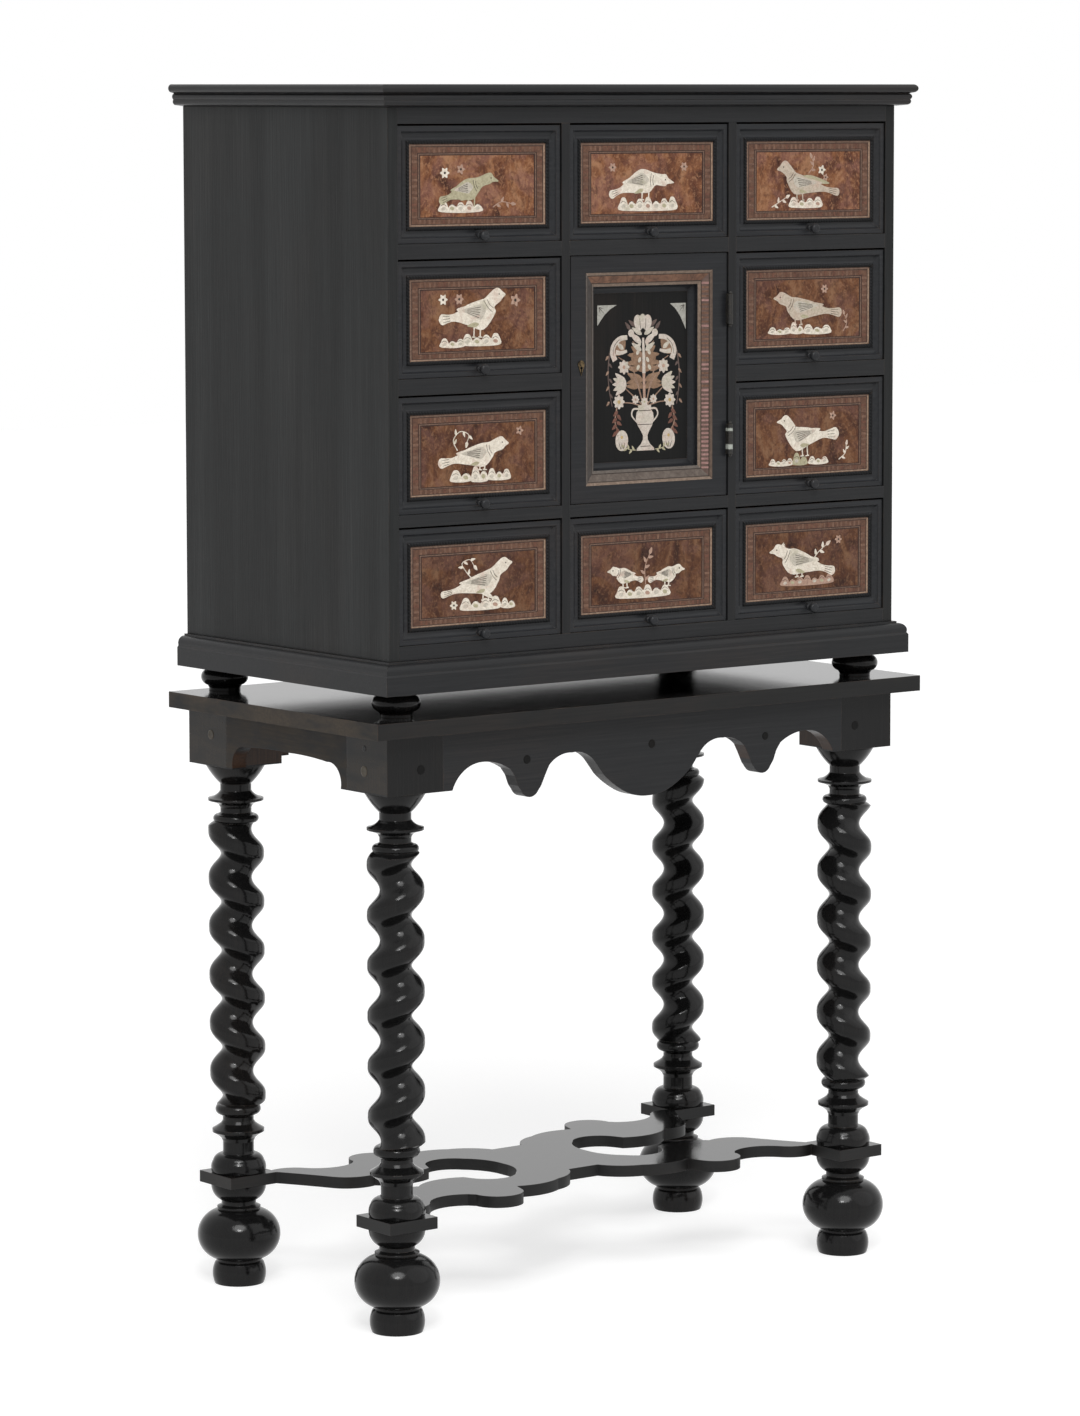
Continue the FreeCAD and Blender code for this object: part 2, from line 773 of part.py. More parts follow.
def leaf_plate(side, start_y, margin):
    """The blocks of both leaves on one side of the pin: 1 is the cabinet's, -1 the door's."""
    near = pivot_x + side * hinge_leaf_half_gap
    far = near + side * (hinge_leaf + margin)
    low_x, high_x = min(near, far), max(near, far)
    end_y = front_y + hinge_leaf_depth + margin
    half = hinge_length / 2 + margin
    return [block(low_x, high_x, start_y, end_y, z - half, z + half) for z in hinge_middles()]


def hinge_housings(side):
    """Shallow housings for the leaves on one side, open to the front."""
    plates = leaf_plate(side, front_y - overrun, hinge_housing_gap)
    return plates[0].fuse(plates[1])


def hinge_leaves():
    """Door leaves with one knuckle each, and cabinet leaves with two knuckles and the pin."""
    third = hinge_length / 3
    start_y = pivot_y + hinge_knuckle_radius + 2 * hinge_leaf_half_gap
    doors, cabinets = [], []

    def knuckle(low, high, side, bore):
        body = Part.makeCylinder(hinge_knuckle_radius, high - low, V(pivot_x, pivot_y, low))
        near = pivot_x + side * hinge_leaf_half_gap
        far = near + side * hinge_leaf
        tab = block(min(near, far), max(near, far), pivot_y, start_y + hinge_tab_lap, low, high)
        return body.fuse(tab).cut(Part.makeCylinder(bore, high - low, V(pivot_x, pivot_y, low)))

    running = hinge_pin_radius + hinge_pin_running_gap
    fixed = hinge_pin_radius + hinge_pin_fixed_gap
    for k, middle in enumerate(hinge_middles()):
        low, high = middle - hinge_length / 2, middle + hinge_length / 2
        bar = knuckle(low + third + hinge_knuckle_gap, high - third - hinge_knuckle_gap, -1, running)
        doors.append(leaf_plate(-1, start_y, 0)[k].fuse(bar))
        ends = [knuckle(low, low + third, 1, fixed), knuckle(high - third, high, 1, fixed)]
        cabinets.append(leaf_plate(1, start_y, 0)[k].multiFuse(ends))
        pin = Part.makeCylinder(hinge_pin_radius, hinge_length, V(pivot_x, pivot_y, low))
        heads = [Part.makeSphere(hinge_pin_head, V(pivot_x, pivot_y, z)) for z in
                 (low - 0.6 * hinge_pin_head, high + 0.6 * hinge_pin_head)]
        clear = Part.makeCylinder(hinge_knuckle_radius, hinge_length, V(pivot_x, pivot_y, low))
        cabinets.append(pin.multiFuse([head.cut(clear) for head in heads]))
    save("hinge_door_leaves", *doors)
    save("hinge_cabinet_leaves", *cabinets)


# Door lock

lock_x = door_left_x + lock_edge_inset
bolt_z = door_mid_z + keyhole_raise + bolt_raise
bolt_y = door_back_y + (lock_case - bolt_board) / 2
keyhole_x = door_left_x + keyhole_stile_share * door_face_stile
keyhole_z = door_mid_z + keyhole_raise


def bolt_space(low_x, high_x, gap):
    """The bolt's section between two places across the cabinet, with a gap all round."""
    return block(low_x, high_x, bolt_y - gap, bolt_y + bolt_board + gap,
                 bolt_z - bolt_height / 2 - gap, bolt_z + bolt_height / 2 + gap)


def bolt_mortise():
    """Pocket in the left divider that the thrown bolt enters."""
    tip_x = lock_x - bolt_throw
    return bolt_space(tip_x - 2 * bolt_gap, -centre_half + overrun, 2 * bolt_gap)


def keyhole(y0, y1):
    """Round hole with a slot below it, between two planes."""
    centre = V(keyhole_x, y0, keyhole_z)
    ring = Part.makeCylinder(keyhole_radius, y1 - y0, centre, V(0, 1, 0))
    slot = block(keyhole_x - keyhole_slot / 2, keyhole_x + keyhole_slot / 2, y0, y1,
                 keyhole_z - keyhole_length, keyhole_z)
    return ring.fuse(slot)


def lock():
    """Lock case on the back of the door, its bolt, and the escutcheon on the stile."""
    low_z = keyhole_z - lock_height / 2
    case = block(lock_x, lock_x + lock_width, door_back_y, door_back_y + lock_case,
                 low_z, low_z + lock_height)
    case = case.cut(bolt_space(lock_x - overrun, lock_x + bolt_length + bolt_gap, bolt_gap))
    case = case.cut(keyhole(door_back_y - overrun, bolt_y - bolt_gap))
    bolt = bolt_space(lock_x, lock_x + bolt_length, 0)
    a, h = escutcheon_width / 2, escutcheon_height / 2
    plate_y = frame_face_y - escutcheon_board
    steps = [(-a, 0.35 * h), (0, h, a, 0.35 * h), (0.45 * a, -0.35 * h), (0, -h), (-0.45 * a, -0.35 * h)]
    plate = outline(steps, lambda s, t: V(keyhole_x + s, plate_y, keyhole_z + t))
    plate = plate.extrude(V(0, escutcheon_board, 0)).cut(keyhole(plate_y - overrun, frame_face_y))
    save("door_lock", case)
    save("lock_bolt", bolt)
    save("door_escutcheon", plate)


def door():
    """Mitred frame, inlaid panel, hinges and lock."""
    frame = mitred_frame(door_left_x, door_right_x, door_z, door_top_z, door_stile,
                         door_rail, door_rail, door_back_y, door_frame_steps)
    frame[2] = frame[2].cut(keyhole(frame_face_y - overrun, door_back_y + overrun))
    frame[3] = frame[3].cut(hinge_housings(-1))
    save("door_frame", *frame)
    save("door_panel", block(door_left_x + door_stile, door_right_x - door_stile,
                             door_back_y - door_panel_board, door_back_y,
                             door_z + door_rail, door_top_z - door_rail))
    hinge_leaves()
    lock()


if __name__ == "__main__":
    os.makedirs("parts", exist_ok=True)
    stand()
    carcase()
    drawers()
    door()
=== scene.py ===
import bpy
import bmesh
import json
import math
import random
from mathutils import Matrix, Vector

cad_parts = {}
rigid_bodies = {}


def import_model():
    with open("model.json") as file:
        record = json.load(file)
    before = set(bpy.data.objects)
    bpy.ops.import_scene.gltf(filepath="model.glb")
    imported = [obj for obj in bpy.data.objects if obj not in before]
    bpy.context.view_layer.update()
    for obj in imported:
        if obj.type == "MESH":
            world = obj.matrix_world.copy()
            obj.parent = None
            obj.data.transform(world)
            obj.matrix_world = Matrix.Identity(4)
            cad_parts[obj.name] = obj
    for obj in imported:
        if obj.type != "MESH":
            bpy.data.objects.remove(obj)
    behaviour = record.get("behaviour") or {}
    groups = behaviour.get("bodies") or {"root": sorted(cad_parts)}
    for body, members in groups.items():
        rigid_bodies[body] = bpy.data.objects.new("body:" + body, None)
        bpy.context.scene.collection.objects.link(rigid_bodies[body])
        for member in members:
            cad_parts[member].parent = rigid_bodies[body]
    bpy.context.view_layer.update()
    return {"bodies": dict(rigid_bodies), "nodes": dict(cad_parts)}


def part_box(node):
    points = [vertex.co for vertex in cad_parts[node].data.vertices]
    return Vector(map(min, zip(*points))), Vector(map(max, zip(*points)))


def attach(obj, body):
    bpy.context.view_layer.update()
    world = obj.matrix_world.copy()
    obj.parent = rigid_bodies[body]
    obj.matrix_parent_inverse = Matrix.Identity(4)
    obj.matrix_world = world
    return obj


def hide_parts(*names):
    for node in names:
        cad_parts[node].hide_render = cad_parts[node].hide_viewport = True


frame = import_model()
nodes = frame["nodes"]
MM = 0.001

scene = bpy.context.scene
scene.view_settings.view_transform = "Standard"


def linked(name, data):
    """A new object in the scene."""
    piece = bpy.data.objects.new(name, data)
    bpy.context.collection.objects.link(piece)
    return piece


def aim(thing, direction):
    """Turns a camera or lamp to look in a direction."""
    thing.rotation_euler = Vector(direction).to_track_quat("-Z", "Y").to_euler()


# Camera: place, turn and lens fitted to the photograph's frame, 1080 wide and 1416 high

FRAME_WIDTH = 1080
FRAME_HEIGHT = 1416
LENS_PIXELS = 5286.58
AXIS_PIXEL = (615.23, 640.1)
SENSOR = 36.0
VIEW_TURN = 0.668864
VIEW_FALL = 0.104371
CAMERA_PLACE = (-3.91284, -5.08397, 1.45051)
CLIP_END = 60


def make_camera():
    data = bpy.data.cameras.new("camera")
    data.sensor_fit = "VERTICAL"
    data.sensor_width = data.sensor_height = SENSOR
    data.lens = LENS_PIXELS * SENSOR / FRAME_HEIGHT
    data.shift_x = (FRAME_WIDTH / 2 - AXIS_PIXEL[0]) / FRAME_HEIGHT
    data.shift_y = (AXIS_PIXEL[1] - FRAME_HEIGHT / 2) / FRAME_HEIGHT
    data.clip_end = CLIP_END
    camera = linked("camera", data)
    camera.location = CAMERA_PLACE
    level = math.cos(VIEW_FALL)
    aim(camera, (math.sin(VIEW_TURN) * level, math.cos(VIEW_TURN) * level, -math.sin(VIEW_FALL)))
    bpy.context.view_layer.update()
    scene.camera = camera


make_camera()


# Materials

class Tree:
    """Short calls for the nodes of a material or of the world."""

    def __init__(self, tree):
        self.tree = tree

    def add(self, kind, **values):
        node = self.tree.nodes.new("ShaderNode" + kind)
        for key, value in values.items():
            setattr(node, key, value)
        return node

    def feed(self, socket, value):
        if hasattr(value, "is_linked"):
            self.tree.links.new(value, socket)
        elif isinstance(value, tuple) and len(value) == 3 and len(socket.default_value) == 4:
            socket.default_value = (*value, 1)
        else:
            socket.default_value = value

    def feed_all(self, node, **values):
        """Feeds the inputs whose names, with _ for a space, are given."""
        for key, value in values.items():
            self.feed(node.inputs[key.replace("_", " ")], value)
        return node.outputs[0]

    def spread(self, value, low, high, to_low=0.0, to_high=1.0):
        return self.feed_all(self.add("MapRange", clamp=True), Value=value, From_Min=low, From_Max=high,
                             To_Min=to_low, To_Max=to_high)

    def math(self, operation, a, b=0.0):
        node = self.add("Math", operation=operation)
        self.feed(node.inputs[0], a)
        self.feed(node.inputs[1], b)
        return node.outputs[0]

    def times(self, a, b):
        return self.math("MULTIPLY", a, b)

    def mix(self, share, a, b):
        node = self.add("Mix", data_type="RGBA")
        for index, value in ((0, share), (6, a), (7, b)):
            self.feed(node.inputs[index], value)
        return node.outputs[2]

    def background(self, *more):
        """1 for rays from the camera and off glossy surfaces, and for the other kinds named."""
        rays = self.add("LightPath").outputs
        seen = self.math("MAXIMUM", rays["Is Camera Ray"], rays["Is Glossy Ray"])
        for kind in more:
            seen = self.math("MAXIMUM", seen, rays[kind])
        return seen


class Shader(Tree):
    """One material and short calls for the nodes it is made of."""

    def __init__(self, name, roughness=0.4, specular=0.5):
        self.material = bpy.data.materials.new(name)
        self.material.use_nodes = True
        super().__init__(self.material.node_tree)
        self.surface = self.tree.nodes["Principled BSDF"]
        self.surface.inputs["Roughness"].default_value = roughness
        self.surface.inputs["Specular IOR Level"].default_value = specular
        coordinates = self.add("TexCoord")
        self.place = coordinates.outputs["Object"]
        self.facing = coordinates.outputs["Normal"]

    def scaled(self, scale, offset=(0, 0, 0)):
        return self.feed_all(self.add("Mapping"), Vector=self.place, Scale=scale, Location=offset)

    def noise(self, vector, detail, roughness, distortion=0.0, scale=1.0):
        return self.feed_all(self.add("TexNoise"), Vector=vector, Scale=scale, Detail=detail,
                             Roughness=roughness, Distortion=distortion)

    def cracks(self, vector):
        return self.feed_all(self.add("TexVoronoi", feature="DISTANCE_TO_EDGE"), Vector=vector, Scale=1.0)

    def ramp(self, value, *stops):
        node = self.add("ValToRGB")
        self.feed(node.inputs["Fac"], value)
        ramp = node.color_ramp
        while len(ramp.elements) < len(stops):
            ramp.elements.new(0.5)
        for element, (place, colour) in zip(ramp.elements, stops):
            element.position = place
            element.color = (*colour, 1)
        return node.outputs["Color"]

    def parts(self, vector):
        node = self.add("SeparateXYZ")
        self.feed(node.inputs[0], vector)
        return node.outputs

    def rounded(self, radius):
        return self.feed_all(self.add("Bevel", samples=4), Radius=radius)

    def edges(self, normal, low=0.02, high=0.16):
        """1 on sharp edges, 0 on faces."""
        dot = self.add("VectorMath", operation="DOT_PRODUCT")
        self.feed(dot.inputs[0], normal)
        self.feed(dot.inputs[1], self.add("NewGeometry").outputs["Normal"])
        return self.spread(self.math("SUBTRACT", 1.0, dot.outputs["Value"]), low, high)

    def bump(self, height, distance, strength=1.0, normal=None):
        node = self.add("Bump")
        if normal is not None:
            self.feed(node.inputs["Normal"], normal)
        return self.feed_all(node, Height=height, Distance=distance, Strength=strength)

    def finish(self, colour, roughness, normal):
        self.feed_all(self.surface, Base_Color=colour, Roughness=roughness, Normal=normal)
        return self.material


FRONT_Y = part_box("carcase_bottom")[0][1]
FRONT_STAIN = (FRONT_Y + 14 * MM, FRONT_Y + 34 * MM)
DRAWER_BOARD_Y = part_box("drawer_left_1_front")[1][1]
DRAWER_STAIN = (DRAWER_BOARD_Y - 11.6 * MM, DRAWER_BOARD_Y - 11.2 * MM)
BLOCK_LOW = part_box("apron_back")[1][2] - 68 * MM
BLOCK_START = (BLOCK_LOW, BLOCK_LOW + MM)

WORN = (0.06, 0.036, 0.024)
RUBBED = (0.085, 0.055, 0.038)
GRIME = (0.03, 0.02, 0.013)
BARE = ((0.135, 0.066, 0.036), (0.058, 0.029, 0.017))
FADED = ((0.046, 0.033, 0.021), (0.022, 0.017, 0.012))


def times_all(factor, values):
    return tuple(factor * value for value in values)


def along(axis, fine, coarse):
    """Texture scale with long streaks along one axis."""
    return tuple(coarse if k == axis else fine for k in range(3))


def ebonised(name, axis, dark=(0.009, 0.0095, 0.0105), pale=(0.022, 0.022, 0.023), brown=0.25,
             gloss=0.3, edge=0.6, grain=1.0, specular=0.2, raw=None, faded=0.0, dull_edge=False, bands=0.0):
    """Black-stained polished wood: fine grain, open pores, brown wear in patches and on edges."""
    s = Shader(name, specular=specular)
    streak = s.noise(s.scaled(along(axis, 420, 9)), 5.0, 0.6, 0.4)
    pores = s.noise(s.scaled(along(axis, 1500, 30)), 2.0, 0.5)
    patch = s.noise(s.scaled(along(axis, 9, 4), (3.1, 1.7, 0.4)), 4.0, 0.6)
    smear = s.noise(s.place, 3.0, 0.6, scale=38.0)
    soft = s.rounded(0.0011)
    between = tuple(0.6 * d + 0.4 * p for d, p in zip(dark, pale))
    colour = s.ramp(streak, (0.3, dark), (0.62, between), (0.8, pale))
    if bands:
        board = s.noise(s.scaled(along(axis, 19, 1.1), (1.9, 0.3, 2.7)), 3.0, 0.5)
        colour = s.mix(s.spread(board, 0.4, 0.62, 0.0, bands), colour, times_all(0.35, dark))
    worn = s.times(s.spread(patch, 0.5, 0.8), brown)
    colour = s.mix(s.times(worn, s.spread(streak, 0.25, 0.7)), colour, WORN)
    if faded:
        colour = s.mix(faded_share(s, faded), colour, s.mix(s.spread(streak, 0.3, 0.7), *FADED))
    rubbed = s.times(s.edges(soft), s.spread(smear, 0.42, 0.68))
    colour = s.mix(s.times(rubbed, edge), colour, RUBBED)
    if raw:
        # The stand's bare inner faces are dimmed to about a third: painted shade under the cabinet and
        # inside the aprons
        light = 0.36 if raw == "stand" else 1.0
        bare = s.mix(s.spread(streak, 0.3, 0.7), *(times_all(light, tone) for tone in BARE))
        colour = s.mix(raw_share(s, raw), colour, bare)
    rough = s.spread(smear, 0.25, 0.75, 0.94 * gloss, 1.14 * gloss)
    if dull_edge:
        upright = s.spread(s.math("ABSOLUTE", s.parts(s.facing)[2]), 0.5, 0.8, 1.0, 0.0)
        rough = s.math("MAXIMUM", rough, s.times(upright, 0.5))
    height = s.math("ADD", s.times(streak, 0.6), s.times(pores, 0.4))
    return s.finish(colour, rough, s.bump(height, 0.00022 * grain, 1.0, soft))


def faded_share(s, amount):
    """Where sun and hands have turned the faces to the left and right brown."""
    turned = s.math("ABSOLUTE", s.parts(s.facing)[0])
    cloud = s.noise(s.scaled((10, 16, 50), (0.7, 2.2, 1.1)), 4.0, 0.65)
    share = s.times(s.spread(turned, 0.6, 0.9, 0.0, amount), s.spread(cloud, 0.34, 0.6))
    return s.times(share, s.spread(s.parts(s.place)[2], *BLOCK_START))


def raw_share(s, rule):
    """1 on the faces that were never stained."""
    nx, ny = s.parts(s.facing)[:2]
    x, y, z = s.parts(s.place)
    inner = s.spread(y, *FRONT_STAIN)
    if rule == "behind":
        return s.times(s.spread(ny, -0.7, -0.5), inner)
    if rule == "door":
        return s.spread(ny, 0.5, 0.7)
    if rule == "drawer":
        return s.spread(y, *DRAWER_STAIN)
    across = s.spread(s.times(nx, x), -0.14, -0.1, 1.0, 0.0)
    if rule == "sides":
        return s.times(across, inner)
    deep = s.spread(s.times(ny, y), -0.1, -0.07, 1.0, 0.0)
    return s.times(s.math("MAXIMUM", across, deep), s.spread(z, *BLOCK_START))


def bare_wood(name, axis, base=(0.2, 0.115, 0.055), deep=(0.085, 0.043, 0.02), dirt=0.5):
    """Old unfinished oak with rays, streaks and grime."""
    s = Shader(name, roughness=0.7, specular=0.25)
    streak = s.noise(s.scaled(along(axis, 260, 5)), 6.0, 0.62, 0.6)
    rings = s.noise(s.scaled(along(axis, 34, 1.6)), 3.0, 0.5, 1.2)
    pores = s.noise(s.scaled(along(axis, 1300, 24)), 2.0, 0.5)
    grime = s.noise(s.place, 5.0, 0.65, scale=7.0)
    soft = s.rounded(0.0009)
    colour = s.mix(s.spread(rings, 0.35, 0.65), base, deep)
    colour = s.mix(s.spread(streak, 0.35, 0.75, 0.0, 0.55), colour, deep)
    colour = s.mix(s.times(s.spread(grime, 0.48, 0.75), dirt), colour, GRIME)
    colour = s.mix(s.spread(pores, 0.6, 0.72, 0.0, 0.5), colour, (0.035, 0.018, 0.01))
    height = s.math("ADD", s.times(streak, 0.5), s.times(pores, 0.5))
    return s.finish(colour, s.spread(grime, 0.3, 0.7, 0.62, 0.8), s.bump(height, 0.0004, 1.0, soft))


def shell_veneer(name, seed, tone):
    """Red-brown veneer in broad orange, pink and dark zones; tone is its lightness, set row by row as
    painted shade.
    """
    s = Shader(name, roughness=0.3, specular=0.18)
    shift = times_all(seed, (1.37, 0.71, 2.13))
    broad = s.noise(s.scaled((34, 34, 21), shift), 3.0, 0.55, 1.1)
    rosy = s.noise(s.scaled((27, 27, 33), shift[::-1]), 2.0, 0.5, 0.6)
    cloud = s.noise(s.scaled((105, 105, 80), shift), 4.0, 0.6, 1.0)
    flecks = s.noise(s.scaled((260, 260, 230), shift), 3.0, 0.6, 0.8)
    stops = ((0.3, (0.06, 0.019, 0.01)), (0.42, (0.16, 0.055, 0.025)),
             (0.54, (0.3, 0.12, 0.05)), (0.66, (0.43, 0.215, 0.11)))
    colour = s.ramp(broad, *((at, times_all(tone, shade)) for at, shade in stops))
    for pattern, low, high, share, shade in (
            (rosy, 0.47, 0.6, 0.65, (0.29, 0.13, 0.095)),
            (cloud, 0.5, 0.68, 0.62, (0.075, 0.027, 0.015)),
            (flecks, 0.52, 0.66, 0.66, (0.46, 0.23, 0.12)),
            (flecks, 0.45, 0.32, 0.55, (0.105, 0.032, 0.017))):
        colour = s.mix(s.spread(pattern, low, high, 0.0, share), colour, times_all(tone, shade))
    return s.finish(colour, s.spread(cloud, 0.3, 0.7, 0.24, 0.4), s.bump(cloud, 0.0001, 0.5))


palette = []


def inlay(name, light, shade, seed=0.0, scale=260, stained=False):
    """Pale inlaid material, mottled and crazed, with darker cut lines; it joins the palette."""
    s = Shader(name, roughness=0.34, specular=0.25)
    shift = times_all(seed, (0.9, 1.9, 0.4))
    cloud = s.noise(s.scaled((scale, scale, scale), shift), 4.0, 0.65, 0.7)
    crack = s.cracks(s.scaled((scale * 0.9, scale, scale * 1.3), shift))
    colour = s.mix(s.spread(cloud, 0.34, 0.68), light, shade)
    if stained:
        stain = s.noise(s.scaled((75, 75, 75), (3.3, 1.2, 5.1)), 3.0, 0.55, 0.5)
        colour = s.mix(s.spread(stain, 0.56, 0.7, 0.0, 0.55), colour, (0.4, 0.37, 0.27))
        colour = s.mix(s.spread(stain, 0.44, 0.32, 0.0, 0.5), colour, (0.52, 0.36, 0.29))
    colour = s.mix(s.spread(crack, 0.0, 0.05, 0.38, 0.0), colour, times_all(0.28, shade))
    palette.append(s.finish(colour, s.spread(cloud, 0.3, 0.7, 0.28, 0.46), s.bump(crack, 0.00008, 0.5)))
    return palette[-1]


def metal(name, base, dark, roughness):
    """Old metal, tarnished in blotches."""
    s = Shader(name, roughness=roughness)
    s.surface.inputs["Metallic"].default_value = 1.0
    blot = s.noise(s.place, 5.0, 0.65, scale=260.0)
    colour = s.mix(s.spread(blot, 0.38, 0.66), base, dark)
    return s.finish(colour, s.spread(blot, 0.3, 0.7, roughness, roughness + 0.25),
                    s.bump(blot, 0.0001, 0.6, s.rounded(0.0003)))


def painted_metal(name, spots):
    """Black paint on metal, rubbed through at the edges, and pale at the given heights: worn knuckles
    painted as bright as their glints, a painted highlight.
    """
    s = Shader(name, roughness=0.42, specular=0.3)
    blot = s.noise(s.place, 4.0, 0.62, scale=420.0)
    soft = s.rounded(0.0004)
    colour = s.mix(s.spread(blot, 0.4, 0.66), (0.012, 0.012, 0.012), (0.024, 0.021, 0.017))
    colour = s.mix(s.spread(s.edges(soft), 0.35, 0.9, 0.0, 0.5), colour, (0.11, 0.092, 0.055))
    # Pale bands at the given heights: wear on the knuckles, lightened as painted glints
    for middle, half in spots:
        away = s.math("ABSOLUTE", s.math("SUBTRACT", s.parts(s.place)[2], middle))
        away = s.math("ADD", away, s.times(blot, 0.003))
        colour = s.mix(s.spread(away, half + 0.001, half + 0.0022, 0.9, 0.0), colour, (0.36, 0.38, 0.34))
    return s.finish(colour, s.spread(blot, 0.3, 0.7, 0.34, 0.55), s.bump(blot, 0.0001, 0.6, soft))


black_x = ebonised("black_along_x", 0)
behind_black = ebonised("black_shelves", 0, brown=0.05, raw="behind")
# The dividers take darker tones than the rest of the black wood: painted shade in the gaps between the
# drawers
divider_painted_shade = ebonised(
    "black_dividers", 2, (0.007, 0.0074, 0.008), (0.017, 0.0172, 0.018), brown=0.05, raw="behind")
rail_black = ebonised("black_rails", 0, raw="stand")
apron_black = ebonised("black_aprons", 1, gloss=0.42, specular=0.12, raw="stand", faded=0.85)
side_black = ebonised(
    "side_black", 2, (0.009, 0.0098, 0.01), (0.026, 0.027, 0.027),
    brown=0.1, gloss=0.36, grain=1.3, specular=0.17, raw="sides", bands=0.75)
turned_black = ebonised(
    "turned_black", 2, (0.0045, 0.0045, 0.0048), (0.011, 0.0105, 0.01),
    brown=0.15, gloss=0.13, grain=0.4)
leg_black = ebonised(
    "leg_black", 2, (0.0042, 0.0042, 0.0044), (0.01, 0.0098, 0.0095),
    brown=0.15, gloss=0.13, grain=0.4, raw="stand", faded=0.5)
board_black = ebonised(
    "board_black", 0, (0.006, 0.006, 0.006), (0.015, 0.0145, 0.014),
    brown=0.3, gloss=0.1, edge=1.0, grain=0.02, faded=1.0, dull_edge=True)
cross_black = ebonised(
    "cross_black", 0, (0.004, 0.004, 0.004), (0.009, 0.0088, 0.0085),
    brown=0.2, gloss=0.1, edge=0.2, grain=0.1, specular=0.27, dull_edge=True)
frame_black = ebonised(
    "frame_black", 0, (0.0135, 0.0142, 0.016), (0.032, 0.0335, 0.036),
    brown=0.18, grain=0.7, specular=0.17, raw="drawer")
# The bead round each drawer panel is darker than the frame: painted shade in the recess round the panel
bead_painted_shade = ebonised(
    "bead_painted_shade", 0, (0.0045, 0.0047, 0.0052), (0.011, 0.0114, 0.012),
    brown=0.1, gloss=0.34, grain=0.5, specular=0.1)
door_black = ebonised(
    "door_black", 0, (0.011, 0.0115, 0.013), (0.027, 0.0283, 0.031),
    brown=0.2, grain=0.7, specular=0.17, raw="door")
oak_y = bare_wood("oak_along_y", 1)
oak_z = bare_wood("oak_along_z", 2, base=(0.11, 0.066, 0.036), deep=(0.05, 0.028, 0.015), dirt=0.8)
brass = metal("old_brass", (0.16, 0.115, 0.062), (0.02, 0.016, 0.012), 0.34)
hinge_paint_and_glints = painted_metal("painted_hinges", ((1.0414, 0.0016), (1.0209, 0.0028)))
iron = metal("old_iron", (0.1, 0.095, 0.09), (0.035, 0.028, 0.024), 0.5)
bone = inlay("bone", (0.76, 0.7, 0.6), (0.56, 0.49, 0.4), stained=True)


def dress(material, *names):
    for name in names:
        for slot in nodes[name].material_slots:
            slot.material = material


dress(board_black, "stand_top")
dress(rail_black, "apron_front", "apron_back")
dress(apron_black, "apron_left", "apron_right")
dress(behind_black, "centre_shelves", "side_shelves", "carcase_bottom", "carcase_subtop")
dress(divider_painted_shade, "dividers")
dress(cross_black, "stretcher")
dress(leg_black, *(name for name in nodes if name.startswith("leg_")))
dress(turned_black, "ball_feet", "cabinet_feet")
dress(black_x, "base_moulding", "cornice", "cabinet_top")
dress(side_black, "carcase_side_left", "carcase_side_right")
dress(oak_z, "carcase_back")
dress(hinge_paint_and_glints, "hinge_cabinet_leaves", "hinge_door_leaves")
dress(brass, "door_escutcheon")
dress(iron, "door_lock", "lock_bolt")
drawer_names = sorted(name for name in frame["bodies"] if name.startswith("drawer_"))
for drawer_name in drawer_names:
    dress(oak_y, drawer_name + "_box")
    dress(frame_black, drawer_name + "_front")
dress(door_black, "door_frame")


# Inlay, drawn in millimetres on a panel: right and up from its middle as seen from the front

def smooth(points, steps=5, closed=True):
    """Points on a soft curve through the given ones."""
    count = len(points)
    result = []
    for k in range(count if closed else count - 1):
        ring = [points[(k + j) % count] if closed else points[min(max(k + j, 0), count - 1)]
                for j in (-1, 0, 1, 2)]
        for s in range(steps):
            t = s / steps
            blend = (-t + 2 * t * t - t ** 3, 2 - 5 * t * t + 3 * t ** 3,
                     t + 4 * t * t - 3 * t ** 3, t ** 3 - t * t)
            result.append(tuple(sum(w * p[axis] for w, p in zip(blend, ring)) / 2 for axis in (0, 1)))
    if not closed:
        result.append(points[-1])
    return result


def turned_by(points, angle, x, y):
    """Points turned about the origin and moved to x, y."""
    c, s = math.cos(angle), math.sin(angle)
    return [(x + c * px - s * py, y + s * px + c * py) for px, py in points]


def ellipse(x, y, a, b, angle=0.0, count=14):
    turns = [2 * math.pi * k / count for k in range(count)]
    return turned_by([(a * math.cos(t), b * math.sin(t)) for t in turns], angle, x, y)


def rectangle(x0, x1, y0, y1):
    return [(x0, y0), (x1, y0), (x1, y1), (x0, y1)]


def stroke(points, width, end_width=None):
    """Outline of a line of tapering width along a soft curve."""
    line = smooth(points, 5, closed=False)
    end_width = width if end_width is None else end_width
    left, right = [], []
    for k, (x, y) in enumerate(line):
        ahead, behind = line[min(k + 1, len(line) - 1)], line[max(k - 1, 0)]
        dx, dy = ahead[0] - behind[0], ahead[1] - behind[1]
        size = math.hypot(dx, dy)
        half = (width + (end_width - width) * k / (len(line) - 1)) / 2
        left.append((x - dy / size * half, y + dx / size * half))
        right.append((x + dy / size * half, y - dx / size * half))
    return left + right[::-1]


def leaf(x, y, length, width, angle):
    shape = [(0, 0), (0.3 * length, 0.5 * width), (0.7 * length, 0.34 * width), (length, 0),
             (0.7 * length, -0.34 * width), (0.3 * length, -0.5 * width)]
    return turned_by(smooth(shape, 4), angle, x, y)


# Plates laid one after another differ in height, so that no two that overlap lie in one plane
PLATE_STEP = 0.003
PLATE_STEPS = 8


